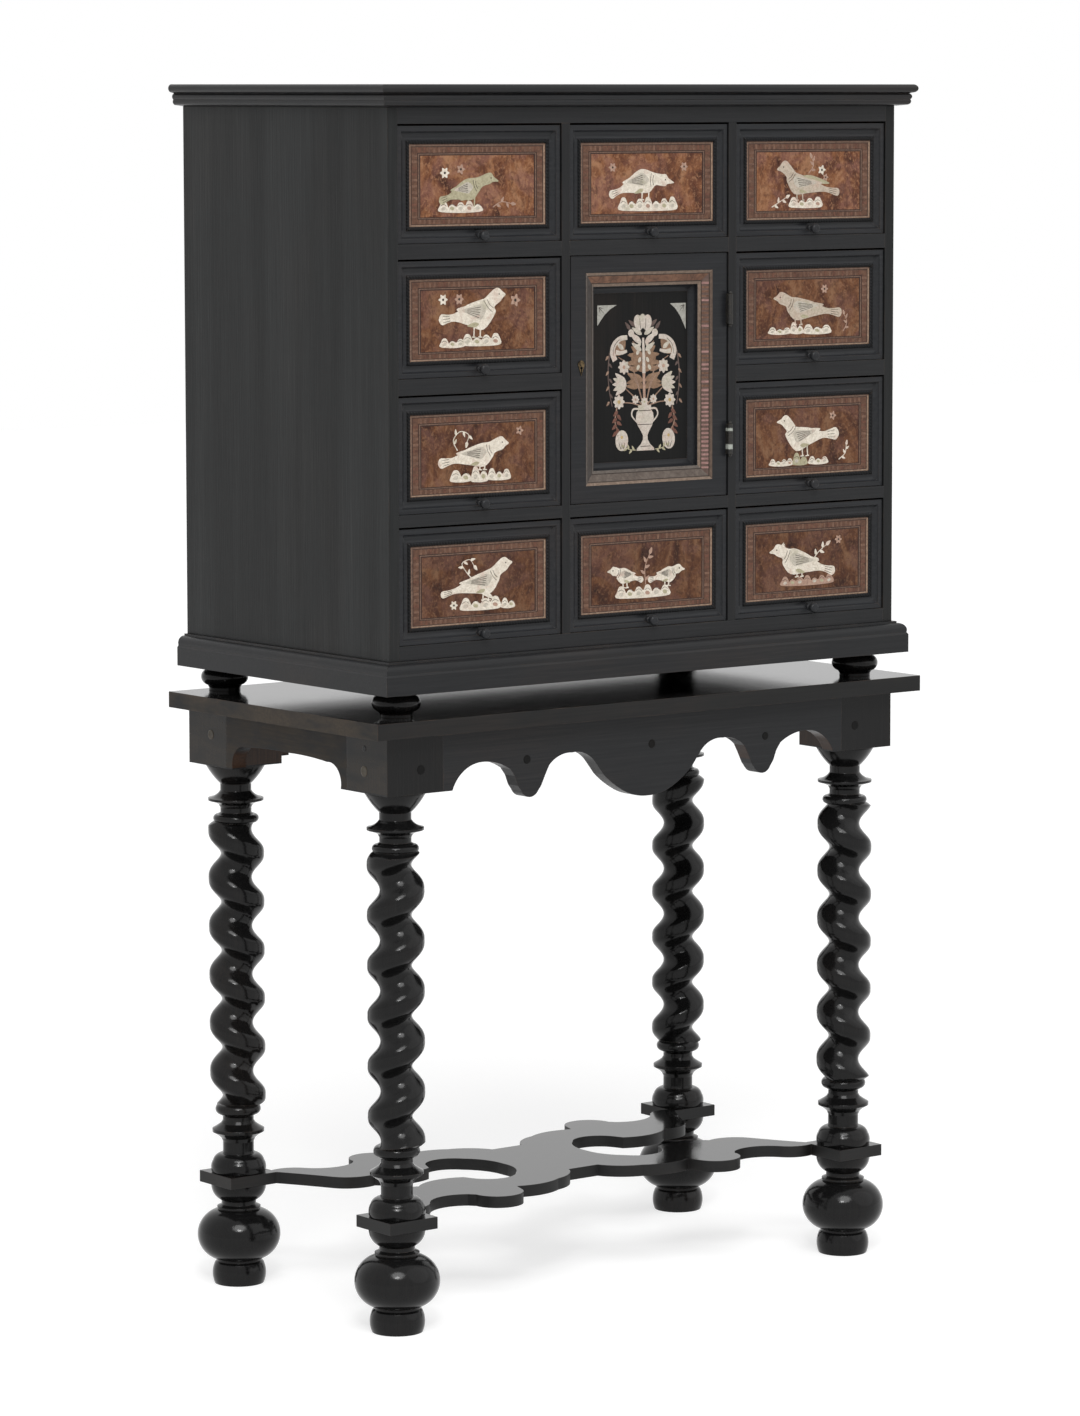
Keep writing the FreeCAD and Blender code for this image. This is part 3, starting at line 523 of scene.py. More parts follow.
class Veneer:
    """A flat panel in the plane y = face on which thin shapes are laid."""

    def __init__(self, name, middle, face, materials):
        self.name = name
        self.middle = middle
        self.face = face
        self.materials = list(materials)
        self.mesh = bmesh.new()
        self.shift = 0.0
        self.lean = 0.0
        self.laid = 0

    def place(self, x, y, rise):
        x += self.shift + self.lean * y
        return Vector((self.middle[0] + x * MM, self.face - rise * MM, self.middle[1] + y * MM))

    def lay(self, points, material, rise=0.3, sink=0.1):
        """A thin plate with this outline."""
        area = sum(a[0] * b[1] - a[1] * b[0] for a, b in zip(points, points[1:] + points[:1]))
        if area < 0:
            points = points[::-1]
        self.laid += 1
        rise += PLATE_STEP * (self.laid % PLATE_STEPS)
        top = [self.mesh.verts.new(self.place(x, y, rise)) for x, y in points]
        low = [self.mesh.verts.new(self.place(x, y, -sink)) for x, y in points]
        faces = [self.mesh.faces.new(top), self.mesh.faces.new(low[::-1])]
        for k in range(len(points)):
            j = (k + 1) % len(points)
            faces.append(self.mesh.faces.new((top[k], low[k], low[j], top[j])))
        for face in faces:
            face.material_index = self.materials.index(material)

    def done(self, body, *replaced):
        put(self.name, self.mesh, body, self.materials, *replaced)


def put(name, mesh, body, materials, *replaced, slot="inlaid_panel", soft=False):
    """Makes a piece of a mesh, with its materials, on its CAD body."""
    bmesh.ops.recalc_face_normals(mesh, faces=mesh.faces)
    data = bpy.data.meshes.new(name)
    mesh.to_mesh(data)
    mesh.free()
    for material in materials:
        data.materials.append(material)
    for face in data.polygons:
        face.use_smooth = soft
    piece = linked(name, data)
    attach(piece, body)
    if replaced:
        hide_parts(*replaced)


def bird(v, beak, head, head_r, breast, breast_r, tail, tail_w, feet=(), crest=False, colour=bone):
    """A standing bird: one outline from beak to tail, a folded wing, an eye and legs."""
    head_r, breast_r, tail_w = 1.05 * head_r, 1.15 * breast_r, 1.25 * tail_w
    (hx, hy), (bx, by), (tx, ty) = head, breast, tail
    neck = math.atan2(hy - by, hx - bx)
    back = math.atan2(ty - by, tx - bx)
    side = 1 if hx > tx else -1
    up = neck + side * math.pi / 2
    high = back - side * math.pi / 2
    low = high + math.pi
    ahead = math.atan2(beak[1] - hy, beak[0] - hx)
    tip_reach = min(math.hypot(beak[0] - hx, beak[1] - hy), 2.0 * head_r)

    def off(x, y, angle, reach):
        return (x + math.cos(angle) * reach, y + math.sin(angle) * reach)

    def behind(share, angle, reach):
        return off(bx + share * (tx - bx), by + share * (ty - by), angle, reach)

    def face(*places):
        return [off(hx, hy, ahead + side * lean, reach * head_r) for lean, reach in places]

    outline = [
        off(hx, hy, ahead, tip_reach), *face((0.5, 0.98), (1.3, 1.0), (2.1, 1.0)),
        off((hx + bx) / 2, (hy + by) / 2, up, 0.42 * head_r + 0.34 * breast_r),
        off(bx, by, high, 0.84 * breast_r),
        behind(0.34, high, 0.66 * breast_r), behind(0.66, high, 0.27 * breast_r),
        behind(0.84, high, 0.38 * tail_w), behind(1.0, high, 0.5 * tail_w), off(tx, ty, back, 0.34 * tail_w),
        behind(1.0, low, 0.5 * tail_w), behind(0.84, low, 0.36 * tail_w),
        behind(0.66, low, 0.25 * breast_r), behind(0.34, low, 0.62 * breast_r),
        off(bx, by, low, breast_r), off(bx, by, neck - side * 0.75, breast_r),
        off(0.6 * hx + 0.4 * bx, 0.6 * hy + 0.4 * by, up + math.pi, 0.74 * head_r),
        *face((-1.2, 0.9), (-0.45, 0.92))]
    for x, y in feet:
        shin = [(x, by - 0.6 * breast_r), (x + 0.6 * side, (y + by) / 2), (x, y)]
        v.lay(stroke(shin, 2.2, 1.5), colour, 0.28)
        v.lay(stroke([(x - 2.4 * side, y), (x + 3.4 * side, y - 0.6)], 1.6, 1.1), colour, 0.26)
    v.lay(smooth(outline, 4), colour, 0.34)
    wing = [off(bx, by, neck, 0.52 * breast_r), off(bx, by, high, 0.7 * breast_r),
            behind(0.3, high, 0.62 * breast_r), behind(0.62, high, 0.4 * breast_r + 1.5),
            behind(0.4, high, 0.06 * breast_r), behind(0.12, low, 0.42 * breast_r),
            off(bx, by, low, 0.36 * breast_r)]
    v.lay(smooth(wing, 4), colour, 0.4)
    inner = [(0.5 * (x + bx) + 0.3 * (x - bx), 0.5 * (y + by) + 0.3 * (y - by)) for x, y in wing]
    v.lay(smooth(inner, 4), bone_shade, 0.44)
    root, tip = inner[5], inner[3]
    for share in (0.1, 0.28, 0.46, 0.64, 0.82):
        start = (root[0] + share * (inner[1][0] - root[0]), root[1] + share * (inner[1][1] - root[1]))
        stop = (start[0] + 0.7 * (tip[0] - start[0]), start[1] + 0.7 * (tip[1] - start[1]))
        v.lay(stroke([start, stop], 0.75, 0.3), cut_line, 0.48)
    shoulder = behind(0.1, low, 0.62 * breast_r)
    v.lay(leaf(*shoulder, 0.9 * breast_r, 0.3 * breast_r, back), bone_green, 0.4)
    for share in (-0.22, 0.0, 0.22):
        quill = [behind(0.8, high, share * tail_w), behind(0.97, high, 1.3 * share * tail_w)]
        v.lay(stroke(quill, 0.6, 0.4), cut_line, 0.4)
    for k, reach in enumerate((0.62, 0.84)):
        x, y = off(bx, by, neck, reach * breast_r)
        half = (0.5 - 0.14 * k) * breast_r
        collar = [off(x, y, up, half), off(x, y, neck, -1.2), off(x, y, up, -half)]
        v.lay(stroke(collar, 0.6), cut_line, 0.44)
    v.lay(ellipse(*off(hx, hy, ahead + side * 0.5, 0.34 * head_r), 0.9, 0.9, count=8), cut_line, 0.42)
    if crest:
        for lean in (0.15, 0.55, 0.95):
            x, y = off(hx, hy, up + side * 0.35, 0.85 * head_r)
            v.lay(leaf(x, y, 6.5, 2.0, up + side * lean), colour, 0.3)


def ground(v, x0, x1, y0, y1, lumps, colour=bone):
    """A low mound of rounded tufts."""
    y1 += 1.5
    wide = (x1 - x0) / lumps
    points = [(x0 - 1.0, y0 + 1.2)]
    for k in range(lumps):
        a = x0 + wide * k
        top = y1 - (0.0, 0.3, 0.12)[k % 3] * (y1 - y0)
        points += [(a + 0.08 * wide, y0 + 0.6 * (top - y0)), (a + 0.3 * wide, top - 0.4),
                   (a + 0.66 * wide, top), (a + 0.9 * wide, y0 + 0.74 * (top - y0))]
    points += [(x1 + 1.0, y0 + 1.0), (x0 + 0.7 * (x1 - x0), y0 - 0.8), (x0 + 0.3 * (x1 - x0), y0 - 0.6)]
    v.lay(smooth(points, 3), colour, 0.3)
    for k in range(lumps):
        x = x0 + wide * (k + 0.5)
        tint = (bone_shade, bone_green, bone_shade, bone_pink)[k % 4]
        v.lay(ellipse(x, y0 + 0.34 * (y1 - y0), 0.26 * wide, 0.16 * (y1 - y0), 0.2 * (-1) ** k), tint, 0.35)
        v.lay(stroke([(x - 0.34 * wide, y0 + 0.58 * (y1 - y0)), (x, y0 + 0.72 * (y1 - y0)),
                      (x + 0.34 * wide, y0 + 0.56 * (y1 - y0))], 0.55, 0.4), cut_line, 0.36)


def flower(v, x, y, count, start, length, width, colour, rise):
    """A ring of petals that start a little out from x, y."""
    for k in range(count):
        angle = 2 * math.pi * k / count
        root = (x + start * math.cos(angle), y + start * math.sin(angle))
        v.lay(leaf(*root, length, width, angle), colour, rise)


def rosette(v, x, y, radius, petals=6, colour=bone):
    """A small round flower."""
    flower(v, x, y, petals, 0.18 * radius, 0.85 * radius, 0.62 * radius, colour, 0.3)
    v.lay(ellipse(x, y, 0.24 * radius, 0.24 * radius, count=8), cut_line, 0.36)


def sprig(v, points, leaves, size, colour=bone):
    """A curved stem with leaves on both sides and a bud at its tip."""
    line = smooth(points, 6, closed=False)
    v.lay(stroke(points, 1.2, 0.7), colour, 0.28)
    for k in range(leaves):
        at = int((k + 1) * (len(line) - 1) / (leaves + 1))
        x, y = line[at]
        ahead = line[at + 1]
        angle = math.atan2(ahead[1] - y, ahead[0] - x) + (0.95 if k % 2 else -0.95)
        v.lay(leaf(x, y, size, 0.46 * size, angle), colour, 0.3)
    (x0, y0), (x, y) = points[-2:]
    v.lay(leaf(x, y, 1.1 * size, 0.6 * size, math.atan2(y - y0, x - x0)), colour, 0.32)


# The ten drawer pictures: a bird or two, the ground and its flowers, each different

def picture_left_1(v):
    bird(v, (38, 2), (17, 7), 6.5, (-12, -4), 12, (-52, -18), 8, [(-14, -25), (-5, -25)], colour=bone_green)
    ground(v, -55, 6, -31, -20, 5)
    rosette(v, -47, 14, 6.5)
    rosette(v, -24, 18, 6, 5, bone_pink)
    sprig(v, [(22, -26), (34, -20), (48, -22)], 3, 7, bone_pink)


def picture_left_2(v):
    bird(v, (40, 27), (28, 26), 8.5, (6, 6), 16.5, (-52, 0), 10, [(-6, -21), (3, -21)])
    ground(v, -54, -20, -32, -23, 3)
    ground(v, -22, 32, -31, -19, 4)
    rosette(v, -50, 23, 6.5)
    rosette(v, -27, 23, 6.5, 6, bone_pink)
    rosette(v, 54, 20, 7.5, 5, bone_pink)


def picture_left_3(v):
    bird(v, (44, 10), (32, 10), 8, (6, -1), 13, (-54, -10), 9.5, [(2, -19), (9, -19)])
    ground(v, -40, -11, -32, -20, 2)
    ground(v, -10, 13, -33, -17, 2)
    ground(v, 14, 46, -32, -20, 3)
    sprig(v, [(-30, 4), (-36, 16), (-26, 26), (-14, 22), (-16, 14)], 4, 7)
    rosette(v, 60, 24, 5.5, 5, bone_pink)


def picture_left_4(v):
    bird(v, (49, 22), (37, 20), 8, (14, 2), 13, (-52, -11), 6.5, [(6, -20), (14, -20)])
    ground(v, -26, 31, -31, -18, 4)
    v.lay(leaf(0, -6, 26, 7, -0.55), bone, 0.33)
    ground(v, 33, 52, -31, -21, 2)
    rosette(v, -36, -24, 5.5, 6)
    sprig(v, [(-8, 4), (-18, 14), (-24, 24), (-13, 28), (-7, 21)], 4, 7)


def picture_right_1(v):
    bird(v, (-50, 13), (-37, 15), 8, (-20, -3), 12, (46, -15), 7.5, [(-18, -24), (-9, -24)],
         colour=bone_warm)
    v.lay(leaf(-12, 4, 46, 9, -0.18), bone_green, 0.38)
    ground(v, -30, 21, -33, -22, 4)
    sprig(v, [(-58, -32), (-48, -27), (-36, -21)], 3, 7)
    sprig(v, [(0, 8), (8, 18), (5, 26)], 3, 7, bone_pink)
    rosette(v, 21, 12, 6, 5)
    rosette(v, 27, 3, 4.5, 5, bone_pink)


def picture_right_2(v):
    bird(v, (-55, 12), (-42, 12), 7.5, (-18, 0), 13, (50, -7), 9, [(-20, -20), (-11, -20)],
         colour=bone_warm)
    ground(v, -62, -28, -31, -24, 3)
    ground(v, -28, -8, -31, -19, 2)
    ground(v, -7, 36, -32, -22, 3)
    rosette(v, 26, 22, 5.5, 6, bone_pink)
    sprig(v, [(56, -30), (62, -20), (58, -10)], 3, 6, bone_pink)


def picture_right_3(v):
    bird(v, (-49, 18), (-35, 18), 7.5, (-19, -2), 14, (45, 1), 12, [(-8, -24), (0, -24)])
    ground(v, -60, -24, -35, -28, 4)
    ground(v, -23, -1, -35, -22, 2, bone_green)
    ground(v, 2, 32, -35, -27, 3)
    rosette(v, 40, 23, 5.5, 5, bone_pink)
    sprig(v, [(50, -31), (60, -24), (62, -14)], 3, 6)


def picture_right_4(v):
    bird(v, (-60, 11), (-46, 13), 7.5, (-22, 0), 15, (41, -16), 9, [(-16, -20), (-8, -20)], crest=True)
    ground(v, -41, 41, -31, -21, 7, bone_pink)
    sprig(v, [(8, -2), (18, 8), (30, 16)], 4, 8)
    rosette(v, 50, 22, 5.5, 6, bone_pink)


def picture_centre_1(v):
    bird(v, (47, -2), (25, 2), 7.5, (-4, 3), 14, (-54, -14), 8, [(-8, -20), (2, -20)])
    ground(v, -42, 44, -33, -19, 7)
    rosette(v, -52, 18, 5.5, 6, bone_pink)
    rosette(v, 56, 18, 5.5, 6, bone_pink)


def picture_centre_4(v):
    bird(v, (-60, 2), (-50, 2), 5.5, (-36, -3), 9, (-8, -10), 6, [(-36, -18), (-30, -18)])
    bird(v, (58, -1), (48, 0), 5.5, (34, -5), 9, (4, -11), 6, [(33, -19), (27, -19)])
    ground(v, -46, 34, -31, -18, 6)
    sprig(v, [(-2, -16), (-3, 4), (4, 20)], 5, 8, bone_pink)


pictures = (picture_centre_1, picture_centre_4, picture_left_1, picture_left_2, picture_left_3,
            picture_left_4, picture_right_1, picture_right_2, picture_right_3, picture_right_4)


# Drawer fronts, in millimetres but for the bead

SIDE_BORDER = 17.0
TOP_BORDER = 13.5
LOW_BORDER = 11.0
TICK_PITCH = 6.8
TICK_SLIP = 0.3
DRAWER_RINGS = (0.03, 0.18, 0.25, 0.72, 0.8, 0.87, 0.97)
STRING_RISE = 0.34
LINE_RISE = 0.1
BAND_RISE = 0.16
TICK_RISE = 0.3
INNER_STRING_RISE = 0.3

BEAD_REACH = 4.6 * MM
BEAD_WIDTH = 4.5 * MM
BEAD_RISE = 3.0 * MM
BEAD_SINK = 0.2 * MM
BEAD_PITCH = 4.2 * MM
BEAD_WAVE = 0.35 * MM
BEAD_SIDES = 7
STEPS_PER_WAVE = 6


def border_rectangle(width, height, share):
    """The rectangle a share of the border in from the panel's edge."""
    return (-width / 2 + share * SIDE_BORDER, width / 2 - share * SIDE_BORDER,
            -height / 2 + share * LOW_BORDER, height / 2 - share * TOP_BORDER)


def mitred(v, outer, inner, material, rise):
    """Four strips with mitred corners between two rectangles: below, above, left and right."""
    (a0, a1, b0, b1), (c0, c1, d0, d1) = outer, inner
    low, high, left, right = material if isinstance(material, tuple) else (material,) * 4
    v.lay([(a0, b0), (a1, b0), (c1, d0), (c0, d0)], low, rise)
    v.lay([(a0, b1), (c0, d1), (c1, d1), (a1, b1)], high, rise)
    v.lay([(a0, b0), (c0, d0), (c0, d1), (a0, b1)], left, rise)
    v.lay([(a1, b0), (a1, b1), (c1, d1), (c1, d0)], right, rise)


def ticks(v, outer, inner, chance):
    """Pale and red cross pieces let into the band, irregular as cut by hand."""
    (a0, a1, b0, b1), (c0, c1, d0, d1) = outer, inner

    def row(low, high, cells):
        count = max(2, round((high - low) / TICK_PITCH))
        step = (high - low) / count
        for k in range(count):
            at = low + (k + 0.5) * step + chance.uniform(-TICK_SLIP, TICK_SLIP)
            width = 0.5 * step * chance.uniform(0.72, 0.95)
            v.lay(cells(at - width / 2, at + width / 2), chance.choice(tick_colours), TICK_RISE)

    row(c0, c1, lambda s, t: rectangle(s, t, b0, d0))
    row(c0, c1, lambda s, t: rectangle(s, t, d1, b1))
    row(d0, d1, lambda s, t: rectangle(a0, c0, s, t))
    row(d0, d1, lambda s, t: rectangle(c1, a1, s, t))


def veneered(name, material):
    """Replaces a panel by a field; gives the inlay to be laid on it, its width and its height."""
    low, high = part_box(name + "_panel")
    width, height = (high[0] - low[0]) / MM, (high[2] - low[2]) / MM
    middle = ((low[0] + high[0]) / 2, (low[2] + high[2]) / 2)
    outline = rectangle(-width / 2, width / 2, -height / 2, height / 2)
    field = Veneer(name + "_field", middle, low[1], [material])
    field.lay(outline, material, 0.0, (high[1] - low[1]) / MM)
    field.done(name, name + "_panel")
    return Veneer(name + "_inlay", middle, low[1], palette), width, height


def drawer_panel(name, seed, picture):
    """Red-brown field with its strings, banding and picture."""
    shell = shell_veneer("tortoiseshell_" + name[len("drawer_"):], seed, row_painted_shade[name[-1]])
    work, width, height = veneered(name, shell)
    chance = random.Random(seed)
    rings = [border_rectangle(width, height, share) for share in DRAWER_RINGS]
    # The outer string is fainter on the top and left: painted shadow of the frame, as the light comes from
    # the upper left
    lines = (((string_wood, string_faint, string_faint, string_wood), STRING_RISE),
             (string_dark, LINE_RISE), (band_wood, BAND_RISE), (string_dark, LINE_RISE),
             (string_faint, INNER_STRING_RISE), (string_dark, LINE_RISE))
    for outer, inner, (material, rise) in zip(rings, rings[1:], lines):
        mitred(work, outer, inner, material, rise)
        if material == band_wood:
            ticks(work, outer, inner, chance)
    picture(work)
    work.done(name)


def drawer_bead(name):
    """A mitred half round on the inner edge of the drawer's frame, waved along its length."""
    low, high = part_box(name + "_panel")
    x0, x1 = low[0] - BEAD_REACH, high[0] + BEAD_REACH
    z0, z1 = low[2] - BEAD_REACH, high[2] + BEAD_REACH
    seat = low[1] - BEAD_SINK
    mesh = bmesh.new()
    corners = [(x0, z0, 1, 1), (x1, z0, -1, 1), (x1, z1, -1, -1), (x0, z1, 1, -1)]
    for start, stop in zip(corners, corners[1:] + corners[:1]):
        length = math.hypot(stop[0] - start[0], stop[1] - start[1])
        steps = int(length / BEAD_PITCH) * STEPS_PER_WAVE
        rings = []
        for k in range(steps + 1):
            s = k / steps
            swell = BEAD_WAVE * math.sin(2 * math.pi * s * length / BEAD_PITCH)
            ring = []
            for j in range(BEAD_SIDES + 1):
                turn = math.pi * j / BEAD_SIDES
                inset = BEAD_WIDTH * (1 - math.cos(turn)) / 2
                lift = (BEAD_RISE + swell) * math.sin(turn) if 0 < j < BEAD_SIDES else 0.0
                a, b = ((x + dx * inset, z + dz * inset) for x, z, dx, dz in (start, stop))
                x, z = (near + s * (far - near) for near, far in zip(a, b))
                ring.append(mesh.verts.new((x, seat - lift, z)))
            rings.append(ring)
        bridge(mesh, rings)
    put(name + "_bead", mesh, name, [bead_painted_shade], slot="ebonised_wood", soft=True)


def bridge(mesh, rings):
    """Joins rings of points into a closed skin with flat ends; gives its faces."""
    count = len(rings[0])
    faces = [mesh.faces.new((near[k], near[(k + 1) % count], far[(k + 1) % count], far[k]))
             for near, far in zip(rings, rings[1:]) for k in range(count)]
    return faces + [mesh.faces.new(rings[0]), mesh.faces.new(rings[-1][::-1])]


bone_shade = inlay("bone_shade", (0.55, 0.5, 0.42), (0.38, 0.34, 0.28), 2.0, 300, True)
bone_green = inlay("bone_green", (0.44, 0.4, 0.27), (0.3, 0.27, 0.17), 3.0)
bone_pink = inlay("bone_pink", (0.43, 0.285, 0.215), (0.3, 0.185, 0.135), 4.0)
bone_warm = inlay("bone_warm", (0.53, 0.45, 0.36), (0.38, 0.305, 0.235), 4.5, 260, True)
string_wood = inlay("string_wood", (0.34, 0.235, 0.165), (0.18, 0.11, 0.075), 5.0)
string_faint = inlay("string_faint", (0.2, 0.125, 0.088), (0.11, 0.062, 0.042), 5.0)
string_dark = inlay("string_dark", (0.04, 0.016, 0.01), (0.022, 0.01, 0.007), 5.5)
band_wood = inlay("band_wood", (0.14, 0.068, 0.04), (0.066, 0.029, 0.018), 6.0, 120)
tick_pale = inlay("tick_pale", (0.18, 0.098, 0.064), (0.09, 0.044, 0.029), 7.0, 120)
tick_red = inlay("tick_red", (0.145, 0.062, 0.038), (0.074, 0.03, 0.019), 8.0, 120)
cut_line = inlay("cut_line", (0.035, 0.022, 0.015), (0.018, 0.012, 0.009), 9.0)
tick_colours = [tick_pale, tick_pale, tick_red]
# The panels are darker row by row down the front: painted shade of the light from above
row_painted_shade = {"1": 0.68, "2": 0.47, "3": 0.43, "4": 0.36}
for seed, (drawer_name, picture) in enumerate(zip(drawer_names, pictures)):
    drawer_panel(drawer_name, seed, picture)
    drawer_bead(drawer_name)


# Door

DOOR_STILE = 22.0
DOOR_RAIL = 20.0
DOOR_BORDER = 17.5
DOOR_FALL = 8.0
DOOR_RINGS = (0.02, 0.2, 0.26, 0.72, 0.78, 0.97)
DOOR_TICKS = 44
DOOR_LINE_RISE = 0.12
DOOR_BAND_RISE = 0.22
PICTURE_SHIFT = 4.6
PICTURE_LEAN = -0.028


class SlopingVeneer(Veneer):
    """Thin shapes on the door's border, which falls towards the panel."""

    def __init__(self, name, low, high, materials):
        super().__init__(name, ((low[0] + high[0]) / 2, (low[2] + high[2]) / 2), low[1], materials)
        self.half_x = (high[0] - low[0]) / 2 / MM - DOOR_STILE
        self.half_z = (high[2] - low[2]) / 2 / MM - DOOR_RAIL

    def rectangle(self, share):
        inset = share * DOOR_BORDER
        return (-self.half_x + inset, self.half_x - inset, -self.half_z + inset, self.half_z - inset)

    def place(self, x, y, rise):
        inset = min(self.half_x - abs(x), self.half_z - abs(y))
        fall = DOOR_FALL * inset / DOOR_BORDER
        return super().place(x, y, rise - fall)


def door_border():
    """Pale strings and a banding that is reddish above, grey below and cross cut on the right; the left
    strips are darker as painted shade.
    """
    low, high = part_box("door_frame")
    work = SlopingVeneer("door_banding", low, high, palette)
    chance = random.Random(21)
    ring = [work.rectangle(share) for share in DOOR_RINGS]
    # The left strips take the dull, darker tones: painted shade on the left slope, which faces away from the
    # light
    mitred(work, ring[0], ring[1], (string_pale, string_pale, string_dull, string_brown), STRING_RISE)
    mitred(work, ring[1], ring[2], cut_line, DOOR_LINE_RISE)
    mitred(work, ring[2], ring[3], (border_wood, border_warm, border_painted_shade, border_rosy), DOOR_BAND_RISE)
    edge = ring[2][1]
    inside, bottom, top = ring[3][1:]
    pitch = (top - bottom) / DOOR_TICKS
    for k in range(DOOR_TICKS):
        start = bottom + pitch * (k + 0.12)
        stop = start + 0.5 * pitch * chance.uniform(0.8, 1.1)
        bright = k < 0.42 * DOOR_TICKS or chance.random() < 0.25
        work.lay(rectangle(inside, edge, start, stop), tick_rosy if bright else tick_pale, TICK_RISE)
    mitred(work, ring[3], ring[4], cut_line, DOOR_LINE_RISE)
    mitred(work, ring[4], ring[5], (string_dull, string_pale, string_dull, string_pale), STRING_RISE)
    work.done("door")


def carnation(v, x, y, size, angle):
    """A fan of five petals opening from x, y."""
    for k in range(5):
        petal = leaf(x, y, 1.6 * size, 0.62 * size, angle + 0.34 * (k - 2))
        v.lay(petal, bone_shade if k % 2 else soft_bone, 0.3 + 0.04 * (k % 2))
    heart = turned_by([(0.35 * size, 0)], angle, x, y)[0]
    v.lay(ellipse(*heart, 0.3 * size, 0.3 * size, count=9), soft_bone, 0.4)


def posy(v, x, y, size, heart):
    """A round flower of eight petals with a coloured heart."""
    flower(v, x, y, 8, 0.1 * size, 0.92 * size, 0.74 * size, soft_bone, 0.32)
    v.lay(ellipse(x, y, 0.27 * size, 0.27 * size, count=9), heart, 0.4)


def half_spray(v, side):
    """The left (-1) or right (1) half of the spray."""
    def line(points, width, end_width, colour, rise):
        v.lay(stroke([(side * x, y) for x, y in points], width, end_width), colour, rise)

    def blade(x, y, length, width, lean, colour, rise):
        """A leaf that leans outward from upright."""
        v.lay(leaf(side * x, y, length, width, math.pi / 2 - side * lean), colour, rise)

    for y, reach, lean in ((-14, 21, 0.9), (-5, 20, 1.2), (6, 19, 0.8), (15, 19, 1.0), (23, 17, 0.9)):
        blade(1.5, y, 1.25 * reach, 9.0, lean, brown_leaf, 0.24)
        blade(8, y + 2, 0.95 * reach, 6.5, lean + 0.6, brown_leaf, 0.26)
    for width, *stem in ((1.8, (2, -34), (12, -6), (28, 8)), (1.8, (3, -34), (20, -20), (34, -9)),
                         (1.8, (2, -34), (16, 8), (38, 24)), (1.6, (1, 20), (8, 34), (16, 42)),
                         (1.8, (4, -35), (20, -31), (34, -30)), (2.0, (42, -36), (45, -54), (37, -68))):
        line(stem, width, 1.0, stem_wood, 0.27)
    v.lay(ellipse(side * 6.6, 64, 6.6, 9.6, side * -0.22, 18), soft_bone, 0.38)
    line([(1.6, 52), (4.0, 60), (4.6, 69)], 0.9, 0.5, cut_line, 0.44)
    blade(2, 50, 17, 6.0, 1.05, bone_shade, 0.34)
    blade(3, 40, 21, 7.5, 0.95, soft_bone, 0.32)
    blade(3, 31, 17, 6.5, 1.0, bone_shade, 0.31)
    blade(12, 60, 12, 5, 0.9, dim_leaf, 0.28)
    v.lay(ellipse(side * 18, 52, 4.5, 4.5), soft_bone, 0.33)
    # A bell flower that bends outward: a thick rim round a dark mouth, closed by a bar
    mouth = [(27, 44), (38, 42), (45, 34), (43, 26), (30, 29)]
    v.lay(smooth([(side * x, y) for x, y in mouth], 4), brown_leaf, 0.24)
    line([(24, 47), (34, 46), (43, 40), (47, 30), (43, 20)], 5.5, 7.5, soft_bone, 0.34)
    line([(25, 31), (34, 29), (42, 30)], 3.2, 6.0, soft_bone, 0.36)
    blade(30, 33, 13, 5.5, 0.9, bone_shade, 0.32)
    line([(36, 45), (44, 37), (46, 26)], 0.7, 0.5, cut_line, 0.42)
    blade(19, 56, 12, 4.6, 0.7, dim_leaf, 0.3)
    posy(v, side * 30, 12, 8.5, bone_pink)
    carnation(v, side * 27, -8, 13.0, math.pi / 2 - side * math.pi / 2)
    posy(v, side * 38.6, -29, 8.5, heart_gold)
    posy(v, side * 13.6, -27, 5.5, bone_pink)
    line([(51, 30), (54, 8), (53, -14), (49, -34)], 1.8, 1.2, dim_leaf, 0.26)
    for k in range(7):
        lean = math.pi + (0.7 if k % 2 else -0.7)
        blade(53 - 0.6 * (k % 2), 26 - 9 * k, 7.0, 3.0, lean, dim_leaf if k % 2 else stem_wood, 0.28)
    for k in range(8):
        lean = math.pi + (1.0 - 0.3 * (k % 3) if k % 2 else -0.9)
        blade(43 - 0.15 * (k - 4) ** 2, -40 - 4.0 * k, 9.0, 4.4, lean, red_leaf, 0.28)
    v.lay(ellipse(side * 35.6, -75, 9.6, 12.4, side * 0.1, 18), soft_bone, 0.3)
    posy(v, side * 35.6, -71, 7.5, heart_gold)
    for step in (-4.5, 0.0, 4.5):
        vein = [(side * 35.6 + 0.4 * step, -85), (side * 35.6 + step, -78)]
        v.lay(stroke(vein, 0.8, 0.5), cut_line, 0.4)
    sprig(v, [(side * 15, -87), (side * 24, -86), (side * 31, -83)], 4, 6, bone_green)
    for k in range(4):
        v.lay(ellipse(side * (6.0 + 2.6 * (k % 2)), 38 - 9 * k, 2.2, 3.4, side * 0.5), bone_shade, 0.33)


